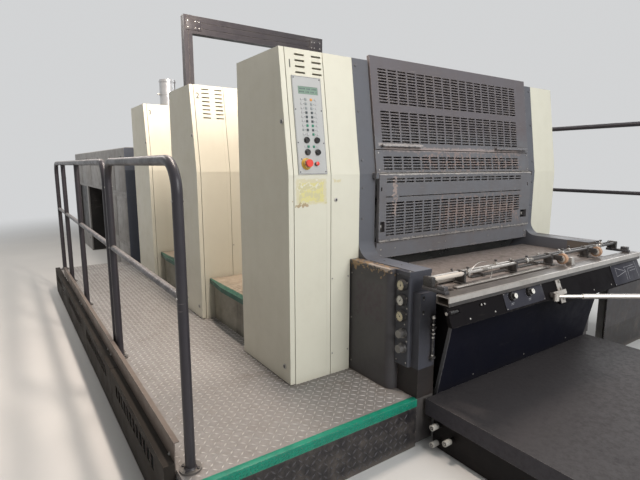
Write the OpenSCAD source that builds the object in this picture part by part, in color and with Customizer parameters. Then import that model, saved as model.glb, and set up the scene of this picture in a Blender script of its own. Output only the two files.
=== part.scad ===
// Sheet-fed offset printing press: three printing units in line, the infeed table with its
// platform at one end and the delivery at the other, with a gallery along both sides.
// X runs along the press towards the infeed, Y from the operating side across to the drive side.

/* [Printing units] */
// Length of a side tower along the press
tower_l = 600; // [500:10:700]
// Distance from one printing unit to the next
unit_pitch = 1370; // [1300:10:1500]
// Height of a tower's top above the floor
tower_top = 2095; // [1950:5:2300]
// Height at which the end faces start to lean back
kink_z = 1440; // [1400:5:1500]
// How far the end faces lean back by the top
lean = 90; // [40:5:140]
// Depth of a near tower, from its door to the panel seam
tower_d = 270; // [250:5:300]
// Depth from the door face to the outer side of the frames, low down
cover_low_d = 410; // [380:5:430]
// Depth from the door face to the outer side of the frames, above the cabinet
frame_y = 475; // [450:5:490]
// Thickness of a near side frame
near_frame_t = 120; // [80:5:140]
// Width between the near and far side frames
guard_w = 1565; // [1400:5:1700]
// Thickness of a far side frame
far_frame_t = 95; // [60:5:120]
// Depth of a far tower
far_tower_d = 290; // [200:10:400]
// Thickness of a tower's walls
tower_wall = 28; // [15:1:40]
// Thickness of a tower's door
door_t = 30; // [20:1:36]

/* [Guards] */
// Thickness of a guard panel
guard_t = 22; // [12:1:30]
// Height of the lower guard's bottom edge
lower_guard_z = 1035; // [1000:5:1080]
// Height of the seam between the middle and upper guards
upper_guard_z = 1580; // [1560:5:1640]
// Height of a slot in the guards
slot_h = 10; // [4:1:12]
// Distance from one row of slots to the next
slot_pitch_z = 17.5; // [14:0.5:26]
// Bar left between two slots of a row
slot_bar = 13; // [8:1:30]
// Number of slots in a row
slot_cols = 17; // [8:1:20]

/* [Cylinders] */
// Diameter of the plate and blanket cylinders
plate_d = 284; // [240:2:292]
// Diameter of the impression cylinder
impression_d = 510; // [450:10:520]
// Diameter of an ink roller
ink_roller_d = 70; // [50:2:72]

/* [Infeed] */
// Distance from the units' end face to the feed table's end rail
table_l = 620; // [560:10:700]
// Height of the feed table's surface
table_z = 870; // [820:5:900]
// Height of the side cabinets' tops
rim_z = 950; // [930:5:1000]
// Length of a side cabinet along the press
cabinet_l = 350; // [300:10:400]
// Length of the gauge box along the press
gauge_box_l = 100; // [80:5:120]
// Diameter of a pressure gauge
gauge_d = 60; // [40:2:70]
// Width of the end rail
rail_w = 80; // [60:5:100]
// Thickness of the end rail
rail_t = 45; // [30:5:60]
// Diameter of a hold-down wheel
wheel_d = 66; // [40:2:76]
// Diameter of a hold-down wheel's bore
wheel_bore_d = 10; // [6:1:14]
// Diameter of a fascia knob
knob_d = 40; // [24:2:44]
// Length of the platform below the table
platform_l = 980; // [800:20:1200]
// Thickness of the platform's edge
platform_t = 88; // [60:2:120]

/* [Galleries] */
// Height of the near gallery's deck
deck_z = 272; // [230:2:300]
// Width of the near gallery
deck_w = 750; // [700:10:900]
// Thickness of a deck plate with its frame
deck_t = 40; // [25:1:60]
// Overhang of the near deck past unit 1
deck_end = 500; // [480:10:520]
// Diameter of a railing tube
rail_d = 42; // [34:1:48]
// Height of the top rail above the deck
rail_h = 1238; // [1000:10:1300]
// Height of the middle rail above the deck
mid_rail_h = 718; // [500:10:800]
// Radius of a railing's corner
rail_bend_r = 120; // [80:5:160]
// Height of the steps between the units
step_z = 600; // [500:10:700]
// Height of the far gallery's deck
far_deck_z = 600; // [500:10:700]
// Width of the far gallery
far_deck_w = 800; // [700:10:1000]

/* [Delivery] */
// Gap from the last unit to the delivery
delivery_gap = 495; // [480:10:600]
// Length of the delivery
delivery_l = 4360; // [4000:20:4800]
// Height of the delivery
delivery_z = 1700; // [1600:10:1800]
// Distance from the delivery's start to its pile bay
bay_start = 1610; // [1500:10:1800]
// Length of the pile bay
bay_l = 1400; // [1200:20:1600]
// Height of the pile bay's lintel
bay_z = 1130; // [1000:10:1300]

/* [Gantry] */
// Width of a gantry post
gantry_post = 90; // [60:5:100]
// Height of the gantry beam's top
gantry_top = 3050; // [2900:10:3200]
// Height of the gantry beam
gantry_beam_h = 180; // [120:10:220]
// Diameter of the exhaust stub
exhaust_d = 160; // [120:10:200]

/* [Hidden] */

$fn = 48;
seat = 0.3;            // gap between a piece and the piece that carries it
play = 5;              // gap round a piece that swings
pin_fit = 0.05;        // radial clearance of a pin in its bore
seam_w = 4;            // open seam between two covers
seam_in = 12;          // how far a seam's backing stands in from the covers' outline
lean_a = atan(lean / (tower_top - kink_z));
guard_y0 = frame_y + near_frame_t + play;
guard_y1 = guard_y0 + guard_w - 2 * play;
far_frame_y = frame_y + near_frame_t + guard_w;
far_tower_y = far_frame_y + far_frame_t;
far_side_y = far_tower_y + far_tower_d;
far_gallery_y = far_side_y + far_deck_w;
n_units = 3;
last_unit_x = -(n_units - 1) * unit_pitch - tower_l;
delivery_x = last_unit_x - delivery_gap;
press_x0 = delivery_x - delivery_l;
cover_t = 20;
platform_x = deck_end + cover_t + 2 * seat;
press_x1 = platform_x + platform_l;
skirt_y = -deck_w - 50;
near_deck_x0 = delivery_x - 280;
x_mid = (press_x0 + press_x1) / 2;
y_mid = (skirt_y + far_gallery_y) / 2;
table_t = 20;
fascia_x = table_l + 40;
foot_h = 20;
rail_y = -deck_w + 50;
rail_split_x = -950;
rim_t = 20;
lip = 8;

// A plain block from its lowest to its highest corner
module block(lo, hi) { translate(lo) cube(hi - lo); }

// A profile in X and Z, extruded across the press from y0 to y1
module across(y0, y1) { translate([0, y1, 0]) rotate([90, 0, 0]) linear_extrude(y1 - y0) children(); }

// A profile in Y and Z, extruded along the press from x0 to x1
module along(x0, x1) { translate([x0, 0, 0]) rotate([90, 0, 90]) linear_extrude(x1 - x0) children(); }

module rod_x(x0, x1, y, z, r) { translate([x0, y, z]) rotate([0, 90, 0]) cylinder(r = r, h = x1 - x0); }
module rod_y(x, y0, y1, z, r) { translate([x, y1, z]) rotate([90, 0, 0]) cylinder(r = r, h = y1 - y0); }
module rod_z(x, y, z0, z1, r) { translate([x, y, z0]) cylinder(r = r, h = z1 - z0); }

// The whole press is drawn from the first tower's corner and set about its own centre
module place() { translate([-x_mid, -y_mid, 0]) children(); }
module at_unit(i) { translate([-(i - 1) * unit_pitch, 0, 0]) children(); }

// What sits on the leaning stretch of an end face, drawn as if the face went straight up
module on_lean() { translate([0, 0, kink_z]) rotate([0, -lean_a, 0]) translate([0, 0, -kink_z]) children(); }

// Outline of a tower seen from the side, set in by i: upright, then leaning back to the top
function tower_points(i, z0) = [[-tower_l + i, z0 + i], [-i, z0 + i], [-i, kink_z - i * tan(lean_a / 2)],
    [-lean - i * (1 / cos(lean_a) - tan(lean_a)), tower_top - i], [-tower_l + i, tower_top - i]];

// Base

module machine_bed() color("dimgray") place() {
    sill_z0 = foot_h;
    for (y = [frame_y, far_tower_y - near_frame_t])
        block([delivery_x + seat, y, sill_z0], [deck_end, y + near_frame_t, deck_z]);
    for (x = [0, -unit_pitch, -2 * unit_pitch, last_unit_x])
        block([x - 60, frame_y + near_frame_t + seat, 90], [x + 60, far_tower_y - near_frame_t - seat, 230]);
    for (x = [delivery_x + 150, -2 * unit_pitch, -unit_pitch, deck_end - 120])
        for (y = [frame_y + near_frame_t / 2, far_tower_y - near_frame_t / 2])
            rod_z(x, y, 0, sill_z0 + 1, 45);
}

module gallery_deck() color("slategray") place() {
    edge = 30;
    difference() {
        block([near_deck_x0, -deck_w, deck_z - deck_t], [deck_end, frame_y - seat, deck_z]);
        block([near_deck_x0 - 1, -seat, deck_z - deck_t - 1], [delivery_x + seat, frame_y, deck_z + 1]);
    }
    block([deck_end - edge / 6, -deck_w, 0], [deck_end, frame_y - seat, deck_z - 1]);
    for (x = [near_deck_x0 + 60, -2.1 * unit_pitch, -1.1 * unit_pitch, -0.1 * unit_pitch])
        for (y = [-deck_w + 40, -60])
            block([x, y, 0], [x + 50, y + 50, deck_z - deck_t + 1]);
}

toe_start = 560;
toe_end = 150;
module toe_board() color("darkgray") place() {
    toe_t = 4;
    toe_z = deck_z + 118;
    x0 = near_deck_x0 + toe_start;
    x1 = deck_end - toe_end;
    block([x0, -deck_w - toe_t, deck_z - 20], [x1, -deck_w, toe_z]);
    block([x0, -deck_w - toe_t, toe_z - toe_t], [x1, -deck_w + 18, toe_z]);
}

module gallery_skirt() color("gray") place() {
    panel_l = 1100;
    joint = 6;
    skirt_wall = 3;
    vent_pitch = 68;
    vent_l = 44;
    vent_h = 70;
    vent_down = 87;
    for (k = [0:3]) {
        x1 = deck_end - toe_end - k * panel_l;
        x0 = max(x1 - panel_l + joint, near_deck_x0);
        y0 = skirt_y;
        difference() {
            block([x0, y0, 25], [x1, -deck_w - 4 - seat, deck_z + 28]);
            block([x0 + skirt_wall, y0 + skirt_wall, 24], [x1 - skirt_wall, -deck_w, deck_z + 25]);
            for (n = [0:11]) translate([x0 + 140 + n * vent_pitch, y0 - 1, deck_z - vent_down])
                cube([vent_l, skirt_wall + 2, vent_h]);
        }
    }
}

// A tube railing: the top rail runs into its end posts in bends, a middle rail below it
module railing(x0, x1, y, z0, top, mid, posts) {
    r = rail_d / 2;
    b = rail_bend_r;
    flange_r = 45;
    flange_t = 8;
    rod_x(x0 + b, x1 - b, y, z0 + top, r);
    rod_x(x0, x1, y, z0 + mid, r * 0.8);
    for (x = [x0, x1]) {
        s = x == x0 ? 1 : -1;
        rod_z(x, y, z0, z0 + top - b, r);
        translate([x + s * b, y, z0 + top - b]) rotate([90, s > 0 ? -90 : 0, 0])
            rotate_extrude(angle = 90) translate([b, 0]) circle(r = r);
        rod_z(x, y, z0, z0 + flange_t, flange_r);
    }
    for (x = posts) {
        rod_z(x, y, z0, z0 + top, r);
        rod_z(x, y, z0, z0 + flange_t, flange_r);
    }
}

module railing_1() color("dimgray") place()
    railing(rail_split_x, deck_end - 120, rail_y, deck_z, rail_h, mid_rail_h, []);
module railing_2() color("dimgray") place()
    railing(near_deck_x0 + 60, rail_split_x - 95, rail_y, deck_z, rail_h, mid_rail_h,
        [rail_split_x - unit_pitch, rail_split_x - 1.75 * unit_pitch]);

module far_deck() color("slategray") place() {
    x0 = near_deck_x0;
    x1 = deck_end;
    block([x0, far_side_y + seat, far_deck_z - deck_t], [x1, far_gallery_y, far_deck_z]);
    for (x = [x0 + 40, (x0 + x1) / 2, x1 - 90])
        for (y = [far_side_y + 60, far_gallery_y - 110])
            block([x, y, 0], [x + 50, y + 50, far_deck_z - deck_t + 1]);
    for (x = [x0 + 40, x1 - 90])
        block([x + 5, far_side_y + 60, 120], [x + 45, far_gallery_y - 60, 160]);
    block([x1 - 5, far_side_y + seat, 0], [x1, far_gallery_y, far_deck_z - 1]);
}

module far_railing() color("dimgray") place()
    railing(near_deck_x0 + 60, deck_end - 60, far_gallery_y - 60, far_deck_z, rail_h, mid_rail_h - 68,
        [-2 * unit_pitch, -0.85 * unit_pitch]);

// Printing units

hinge_r = 10;
hinge_pin_r = 5;
hinge_h = 40;
hinge_x = -tower_l - hinge_r;
hinge_y = door_t / 2;
low_hinge = 480;
high_hinge = 320;
lock_r = 12;
lock_in = 62;
function hinge_z() = [deck_z + low_hinge, tower_top - high_hinge];

louvre_l = 60;
louvre_h = 10;
louvre_pitch = 31;
louvre_top = tower_top + 2;
louvre_y = [92, 198];

// A tower is a cabinet of bolted plates, open towards its door, with an equipment plate at its back
module tower(louvre_rows) {
    w = tower_wall;
    y0 = door_t + seam_w;
    y1 = tower_d - w - seat;
    fold_z = kink_z - w * tan(lean_a / 2);
    inner = tower_points(w, deck_z);
    difference() {
        union() {
            across(tower_d - w, tower_d) polygon(tower_points(0, deck_z));
            across(y0, y1) difference() {
                polygon(tower_points(0, deck_z));
                polygon(inner);
                for (x = [inner[0][0], inner[1][0] - seat])
                    translate([x, deck_z - 1]) square([seat, w + 2]);
                for (x = [inner[4][0], inner[3][0] - seat])
                    translate([x, tower_top - w - 1]) square([seat, w + 2]);
                translate([-w - 1, fold_z - seat]) square([w + 2, seat]);
            }
        }
        on_lean() along(-w - 1, 1) for (row = [1:1:louvre_rows])
            for (y = louvre_y)
                translate([y, louvre_top - row * louvre_pitch]) square([louvre_l, louvre_h]);
    }
    for (z = hinge_z()) {
        block([hinge_x - 2, hinge_y + 5, z], [-tower_l - seat, y0 + hinge_h, z + hinge_h]);
        rod_z(hinge_x, hinge_y, z, z + hinge_h, hinge_r);
        rod_z(hinge_x, hinge_y, z + hinge_h - 1, z + hinge_h * 1.8, hinge_pin_r);
    }
}

// A tower's door turns about the pins of two lift-off hinges at its far edge
module door() {
    z0 = deck_z + play;
    difference() {
        across(0, door_t) polygon([[-tower_l, z0], [0, z0], [0, kink_z],
            [-lean, tower_top], [-tower_l, tower_top]]);
        across(3, door_t + 1) polygon([[-tower_l + 12, z0 + 12], [-12, z0 + 12],
            [-12, kink_z], [-lean - 12, tower_top - 12], [-tower_l + 12, tower_top - 12]]);
        for (z = hinge_z())
            block([-tower_l - 1, hinge_y - hinge_r, z - 2], [-tower_l + 2, door_t + 1, z + hinge_h + 0.1]);
    }
    for (z = hinge_z()) difference() {
        union() {
            rod_z(hinge_x, hinge_y, z + hinge_h + seat, z + 2 * hinge_h, hinge_r);
            block([hinge_x, hinge_y - 3, z + hinge_h + seat], [-tower_l + 1, hinge_y + 3, z + 2 * hinge_h]);
        }
        rod_z(hinge_x, hinge_y, z + hinge_h, z + 2 * hinge_h + 1, hinge_pin_r + pin_fit);
    }
    for (z = [deck_z + 95, tower_top - 380])
        rod_y(-lock_in, -3, 1, z, lock_r);
}

module tower_1() color("ivory") place() at_unit(1) tower(4);
module tower_2() color("ivory") place() at_unit(2) tower(8);
module tower_3() color("ivory") place() at_unit(3) tower(0);
module door_1() color("ivory") place() at_unit(1) door();
module door_2() color("ivory") place() at_unit(2) door();
module door_3() color("ivory") place() at_unit(3) door();

// The panels that close the side frames between the towers and the guards
module frame_covers() color("ivory") place() for (i = [1:n_units]) at_unit(i) {
    across(tower_d + seat, tower_d + seam_w + 1) polygon(tower_points(seam_in, deck_z));
    across(tower_d + seam_w, cover_low_d) polygon(tower_points(0, deck_z));
    intersection() {
        across(cover_low_d - 1, frame_y - seat) polygon(tower_points(0, deck_z));
        block([-tower_l, cover_low_d - 1, rim_z - 13], [0, frame_y, tower_top]);
    }
}

module far_towers() color("ivory") place() for (i = [1:n_units]) at_unit(i)
    across(far_tower_y + seat, far_side_y) polygon(tower_points(0, deck_z));

// A side frame of a unit, carried down to the bed
module side_plate(y0, y1) across(y0, y1) polygon(tower_points(0, deck_z + seat));

module frame_ties(y0, y1) {
    rod_y(-tower_l + 90, y0, y1, 420, 40);
    rod_y(-tower_l + 90, y0, y1, 1950, 35);
}

module unit_frame(i) {
    at_unit(i) {
        side_plate(frame_y, frame_y + near_frame_t);
        side_plate(far_frame_y, far_tower_y);
        frame_ties(frame_y + near_frame_t - 1, far_frame_y + 1);
    }
}

module unit_frame_1() color("slategray") place() {
    unit_frame(1);
    sweep_r = 100;
    for (y = [[frame_y, frame_y + near_frame_t], [far_frame_y, far_tower_y]])
        across(y[0], y[1]) difference() {
            polygon([[-1, deck_z + seat], [cabinet_l, deck_z + seat], [cabinet_l, rim_z],
                [sweep_r, rim_z], [0, rim_z + sweep_r], [-1, rim_z + sweep_r]]);
            translate([sweep_r, rim_z + sweep_r]) circle(r = sweep_r);
        }
    guard_pins();
}

// The guards turn on pins that stand out of the side frames
module guard_pins() {
    pin_l = play + 25;
    for (y = [frame_y + near_frame_t - 1, far_frame_y - pin_l + 1]) {
        on_lean() rod_y(upper_hinge_x, y, y + pin_l, upper_hinge_z, guard_pin_r);
        rod_y(lower_guard_x, y, y + pin_l, lower_hinge_z, guard_pin_r);
    }
    for (y = [frame_y + near_frame_t - 22, far_frame_y])
        block([-1, y, lower_hinge_z - 16], [lower_guard_x + 12, y + 22, lower_hinge_z + 16]);
}
module unit_frame_2() color("slategray") place() unit_frame(2);
module unit_frame_3() color("slategray") place() unit_frame(3);

module unit_roofs() color("slategray") place() for (i = [1:n_units]) at_unit(i) {
    block([-tower_l, guard_y0 - play + seat, tower_top - 25],
        [-lean - guard_t - (i == 1 ? 75 : 2), far_frame_y - seat, tower_top]);
}

// Steps between the towers: a footboard that overhangs its box, with its near corner cut back
module unit_steps() color("gray") place() for (i = [1:n_units - 1]) {
    x1 = -(i - 1) * unit_pitch - tower_l - 2 * hinge_r - play;
    x0 = -i * unit_pitch + seat;
    near = 32;
    cut_l = 320;
    board_t = 34;
    overhang = 25;
    sleeper_in = 100;
    translate([0, 0, step_z - board_t]) linear_extrude(board_t)
        polygon([[x0, near + 38], [x0 + cut_l, near], [x1, near], [x1, frame_y - seat],
            [x0, frame_y - seat]]);
    block([x0 + overhang, near + 65, deck_z], [x1 - overhang, frame_y - seat, step_z - board_t + 1]);
    block([x0, frame_y + near_frame_t / 2, step_z - deck_t], [x1, far_frame_y + far_frame_t / 2, step_z]);
    for (y = [frame_y + 60, far_tower_y - 110])
        block([x0 + sleeper_in, y, deck_z], [x1 - sleeper_in, y + 60, step_z - deck_t - seat]);
}

// Controls on the first tower

panel_y0 = 62;
panel_y1 = 244;
panel_top = 1958;
panel_t = 6;
screen = [[95, 219], [1865, 1906]];
estop_y = 112;
estop_z = 1497;
estop_travel = 4;
estop_base = panel_t + 20;
estop_collar_r = 25;
estop_stem_r = 8;
estop_head_r = 20;
module control_panel() color("lavender") place() {
    on_lean() difference() {
        block([seat, panel_y0, kink_z + 2], [panel_t, panel_y1, panel_top]);
        rod_x(panel_t / 2, panel_t + 1, estop_y, estop_z, estop_stem_r + pin_fit);
        block([panel_t - 2, screen[0][0], screen[1][0]], [panel_t + 1, screen[0][1], screen[1][1]]);
    }
    on_lean() difference() {
        rod_x(panel_t - 1, estop_base, estop_y, estop_z, estop_collar_r);
        rod_x(panel_t / 2, estop_base + 1, estop_y, estop_z, estop_stem_r + pin_fit);
    }
}

key_y = [110, 137, 171, 200];
key_z = 1654;
key_pitch = 22.9;
key_rows = 9;
module panel_keys() color("silver") place() on_lean() {
    key = 13;
    for (row = [0:key_rows - 1])
        for (y = key_y)
            block([panel_t, y - key / 2, key_z + row * key_pitch - key / 2],
                [panel_t + 3, y + key / 2, key_z + row * key_pitch + key / 2]);
}

button_y = [125, 190];
button_z = [1559, 1623];
small_stop_y = 175;
module panel_buttons() color("black") place() on_lean() {
    for (y = button_y)
        for (z = button_z) {
            rod_x(panel_t, panel_t + 5, y, z, 17);
            rod_x(panel_t + 4, panel_t + 14, y, z, 13);
        }
    rod_x(panel_t, panel_t + 12, small_stop_y, estop_z, 11);
}

module estop_button() color("red") place() on_lean() {
    head_x = estop_base + estop_travel + seat;
    rod_x(head_x, head_x + 14, estop_y, estop_z, estop_head_r);
    rod_x(panel_t / 2 + estop_travel + seat, head_x + 1, estop_y, estop_z, estop_stem_r);
}

// Guards

// A grid of slots in the plane of a guard, in Y and Z, with its lowest rows one slot short
module slot_grid(span, short_rows = 0) {
    z0 = span[0];
    y0 = guard_y0 + grid_near;
    pitch_y = (guard_y1 - grid_far - y0) / slot_cols;
    rows = floor((span[1] - z0 - slot_h) / slot_pitch_z) + 1;
    for (row = [0:rows - 1])
        for (col = [0:slot_cols - (row < short_rows ? 2 : 1)])
            translate([y0 + col * pitch_y + slot_bar / 2, z0 + row * slot_pitch_z])
                square([pitch_y - slot_bar, slot_h]);
}

grid_near = 50;
grid_far = 129;
top_grid = [1858, 2064];
high_grid = [1627, 1814];
middle_grid = [1462, 1545];
low_grid = [1068, 1275];
slit_grid = [1387, 1417];
guard_top = tower_top + 35;
guard_pin_r = 6;
hinge_tube_r = 12;
upper_hinge_x = -guard_t / 2 - 3;
upper_hinge_z = tower_top - 30;
lower_hinge_z = kink_z - 10;
lower_guard_x = guard_t;
grip_z = upper_guard_z + play + 22;
grip_out = 23;
grips = [[guard_y0 + 40, guard_y0 + 376], [guard_y1 - 422, guard_y1 - 34]];
module guard_upper() color("slategray") place() {
    t = guard_t / 2;
    z0 = upper_guard_z + play;
    on_lean() difference() {
        union() {
            along(-t, t) difference() {
                translate([guard_y0, z0]) square([guard_y1 - guard_y0, guard_top - z0]);
                slot_grid(top_grid);
                slot_grid(high_grid);
            }
            for (y = grips)
                across(y[0], y[1]) translate([t, grip_z]) polygon([[-1, 0], [grip_out, 5], [grip_out + 3, 2],
                    [grip_out + 3, -9], [grip_out, -9], [grip_out - 1, 0], [-1, -5]]);
            rod_y(upper_hinge_x, guard_y0, guard_y1, upper_hinge_z, hinge_tube_r);
        }
        for (y = [guard_y0 - 1, guard_y1 - 30])
            rod_y(upper_hinge_x, y, y + 31, upper_hinge_z, guard_pin_r + pin_fit);
    }
}

module guard_middle() color("slategray") place() on_lean() {
    along(-guard_t / 2, guard_t / 2) difference() {
        translate([guard_y0 - play + seat, kink_z + play])
            square([far_frame_y - guard_y0 + play - 2 * seat, upper_guard_z - kink_z - play]);
        slot_grid(middle_grid);
    }
}

// Latch pockets and finger holes of the lower guard: distance from its near edge, height and size
latch_pockets = [[10, 1093, 36, 64], [guard_y1 - guard_y0 - 112, 1095, 80, 58],
    [12, 1338, 10, 24], [guard_y1 - guard_y0 - 46, 1338, 10, 24]];
paper_slot_z = 1300;
module guard_lower() color("slategray") place() {
    t = guard_t / 2;
    slot_y = guard_y0 + grid_near;
    slot_l = guard_y1 - grid_far - slot_y;
    difference() {
        union() {
            along(lower_guard_x - t, lower_guard_x + t) difference() {
                translate([guard_y0, lower_guard_z])
                    square([guard_y1 - guard_y0, lower_hinge_z - lower_guard_z]);
                slot_grid(low_grid, 5);
                slot_grid(slit_grid);
                translate([slot_y, paper_slot_z]) square([60, 6]);
                translate([slot_y + 110, paper_slot_z]) square([slot_l - 110, 6]);
                for (p = latch_pockets) translate([guard_y0 + p[0], p[1]]) square([p[2], p[3]]);
            }
            block([lower_guard_x, guard_y0, lower_guard_z],
                [lower_guard_x + t + 5, guard_y1, lower_guard_z + 9]);
            rod_y(lower_guard_x, guard_y0, guard_y1, lower_hinge_z, hinge_tube_r);
        }
        for (y = [guard_y0 - 1, guard_y1 - 30])
            rod_y(lower_guard_x, y, y + 31, lower_hinge_z, guard_pin_r + pin_fit);
    }
}

// The sill below the lower guard, over the gap that the sheets go in through
module guard_sill() color("slategray") place() {
    block([-40, guard_y0 - play + seat, rim_z - 18], [guard_t, far_frame_y - seat, lower_guard_z - play]);
}

module plain_guard(x0, x1) {
    along(x0, x1) difference() {
        translate([guard_y0 - play + seat, rim_z])
            square([far_frame_y - guard_y0 + play - 2 * seat, kink_z - rim_z - 4]);
        slot_grid(low_grid);
    }
}

module inner_guards() color("slategray") place() for (i = [2:n_units]) at_unit(i) {
    plain_guard(-guard_t, 0);
    on_lean() along(-guard_t, 0)
        translate([guard_y0 - play + seat, kink_z]) square([far_frame_y - guard_y0 + play - 2 * seat,
            (tower_top - kink_z) / cos(lean_a) - 6]);
}

module rear_guards() color("slategray") place() for (i = [1:n_units]) at_unit(i) {
    block([-tower_l, guard_y0 - play + seat, rim_z],
        [-tower_l + guard_t, far_frame_y - seat, tower_top - 25 - seat]);
}

// Cylinders and rollers, carried in the side frames. The blanket cylinder stands over the
// impression cylinder and the plate cylinder over that, each a nip away from the next.

nip = 6;
journal = 0.35;
cylinder_y0 = frame_y + near_frame_t + seat;
cylinder_y1 = far_frame_y - seat;
impression_x = -tower_l / 2 - 10;
impression_z = rim_z + 50;
plate_x = -tower_l / 2 + 25;
blanket_z = impression_z + impression_d / 2 + nip + plate_d / 2;
plate_z = blanket_z + plate_d + nip;
module print_cylinders() color("silver") place() for (i = [1:n_units]) at_unit(i)
    for (c = [[impression_x, impression_z, impression_d / 2], [plate_x, blanket_z, plate_d / 2],
        [plate_x, plate_z, plate_d / 2]]) {
        rod_y(c[0], cylinder_y0 + 20, cylinder_y1 - 20, c[1], c[2]);
        rod_y(c[0], cylinder_y0, cylinder_y1, c[1], c[2] * journal);
    }

// Four form rollers lie round the plate cylinder, and two riders lie between the first three
module ink_rollers() color("darkgray") place() for (i = [1:n_units]) at_unit(i) {
    step_a = 35;
    form_r = (plate_d + ink_roller_d) / 2 + nip;
    half = form_r * sin(step_a / 2);
    rider_r = form_r * cos(step_a / 2) + sqrt(pow(ink_roller_d + nip, 2) - pow(half, 2));
    for (c = [for (k = [0:3]) [30 + k * step_a, form_r],
        for (k = [0:1]) [30 + (k + 0.5) * step_a, rider_r]]) {
        x = plate_x + c[1] * cos(c[0]);
        z = plate_z + c[1] * sin(c[0]);
        rod_y(x, cylinder_y0 + 15, cylinder_y1 - 15, z, ink_roller_d / 2);
        rod_y(x, cylinder_y0, cylinder_y1, z, ink_roller_d * journal / 2);
    }
}

// Infeed

// A side cabinet stands against the side frame, its front edge rounded and its top overhanging
module side_cabinet(l) {
    r = 50;
    y0 = cover_low_d + lip;
    y1 = frame_y - seat;
    translate([0, 0, deck_z]) linear_extrude(rim_z - rim_t - deck_z) intersection() {
        translate([seat, y0]) square([l - seat, y1 - y0]);
        union() {
            translate([0, y0]) square([l - r, 2 * r]);
            translate([l - r, y0 + r]) circle(r = r);
        }
    }
    block([seat, y0 - lip, rim_z - rim_t], [l, y1, rim_z]);
}

leg_x1 = table_l - 120;
module side_cabinet_near() color("dimgray") place() side_cabinet(cabinet_l);
module side_cabinet_far() color("dimgray") place()
    translate([0, far_tower_y + frame_y, 0]) mirror([0, 1, 0]) side_cabinet(leg_x1);

gauge_x0 = cabinet_l + seat;
gauge_x1 = gauge_x0 + gauge_box_l;
gauge_y0 = 450;
gauge_y1 = 605;
gauge_box_z = 435;
gauge_heights = [876, 794, 708];
regulator_heights = [617, 535];
module gauge_box() color("darkslategray") place() {
    r = 12;
    translate([0, 0, gauge_box_z]) linear_extrude(rim_z - rim_t - gauge_box_z) {
        translate([gauge_x0, gauge_y0]) square([gauge_box_l - r, gauge_y1 - gauge_y0]);
        translate([gauge_x0, gauge_y0 + r]) square([gauge_box_l, gauge_y1 - gauge_y0 - r]);
        translate([gauge_x1 - r, gauge_y0 + r]) circle(r = r);
    }
    block([gauge_x0 - seat / 2, gauge_y0 - lip, rim_z - rim_t], [gauge_x1 + lip / 2, gauge_y1, rim_z]);
}

// Gauges with a raised bezel, and two fluted pressure regulators below them
module gauges() color("gainsboro") place() {
    gx = gauge_x0 + gauge_box_l / 2;
    bezel = 4;
    flute_r = 2.5;
    for (z = gauge_heights) difference() {
        rod_y(gx, gauge_y0 - 24, gauge_y0, z, gauge_d / 2);
        rod_y(gx, gauge_y0 - 25, gauge_y0 - 20, z, gauge_d / 2 - bezel);
    }
    for (z = regulator_heights) {
        rod_y(gx + 12, gauge_y0 - 14, gauge_y0, z, 26);
        difference() {
            rod_y(gx + 12, gauge_y0 - 40, gauge_y0 - 13, z, 21);
            for (k = [0:17])
                rod_y(gx + 12 + 22 * cos(k * 20), gauge_y0 - 41, gauge_y0 - 18,
                    z + 22 * sin(k * 20), flute_r);
        }
    }
}

module infeed_frame() color("dimgray") place() {
    block([cabinet_l + seat, guard_y1 + play + seat, deck_z + seat], [leg_x1, far_tower_y, rim_z]);
    block([cabinet_l + seat, frame_y, deck_z + seat], [leg_x1, frame_y + near_frame_t, gauge_box_z - 1]);
    block([gauge_x1 + seat, gauge_y0 + 25, gauge_box_z - 2], [leg_x1, gauge_y1 - 10, table_z - 25]);
    block([30, frame_y + near_frame_t + seat, deck_z + 200], [90, far_frame_y - seat, deck_z + 300]);
}

module feed_table() color("rosybrown") place() {
    y0 = gauge_y1 + seat;
    y1 = far_frame_y - seat;
    block([seat, y0, table_z - table_t], [table_l - seat, y1, table_z]);
    for (y = [y0 + 40, y1 - 70])
        block([seat, y, table_z - 80], [table_l - seat, y + 30, table_z - table_t + 1]);
}

// The end rail is a square tube, open at its near end
rail_z = table_z + 5;
rail_y0 = frame_y - 20;
rail_y1 = far_side_y - 45;
rail_wall = 6;
module table_rail() color("silver") place() difference() {
    block([table_l, rail_y0, rail_z - rail_t], [table_l + rail_w, rail_y1, rail_z]);
    block([table_l + rail_wall, rail_y0 - 1, rail_z - rail_t + rail_wall],
        [table_l + rail_w - rail_wall, rail_y0 + 60, rail_z - rail_wall]);
}

fascia_z = rail_z - rail_t - seat;
fascia_near_h = 100;
fascia_h = 140;
fascia_a = atan(58 / fascia_h);
fascia_t = 20;
bracket_y = 1395;
knob_plate = [890, 1260];
diagram_y = 2080;
socket_y = [700, 726];
lever_y = 520;
row_down = 34;
plate_in = 6;

// A stretch of the fascia, which leans out from the rail down to its lower edge
module fascia_stretch(y0, y1, h) {
    out = h * tan(fascia_a);
    across(y0, y1) polygon([[fascia_x, fascia_z], [fascia_x + fascia_t, fascia_z],
        [fascia_x + fascia_t + out, fascia_z - h], [fascia_x + out, fascia_z - h]]);
}

// Length of a plate that lies down the slope of a stretch, an equal margin from both edges
function plate_down(h) = h / cos(fascia_a) - 2 * plate_in;

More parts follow.
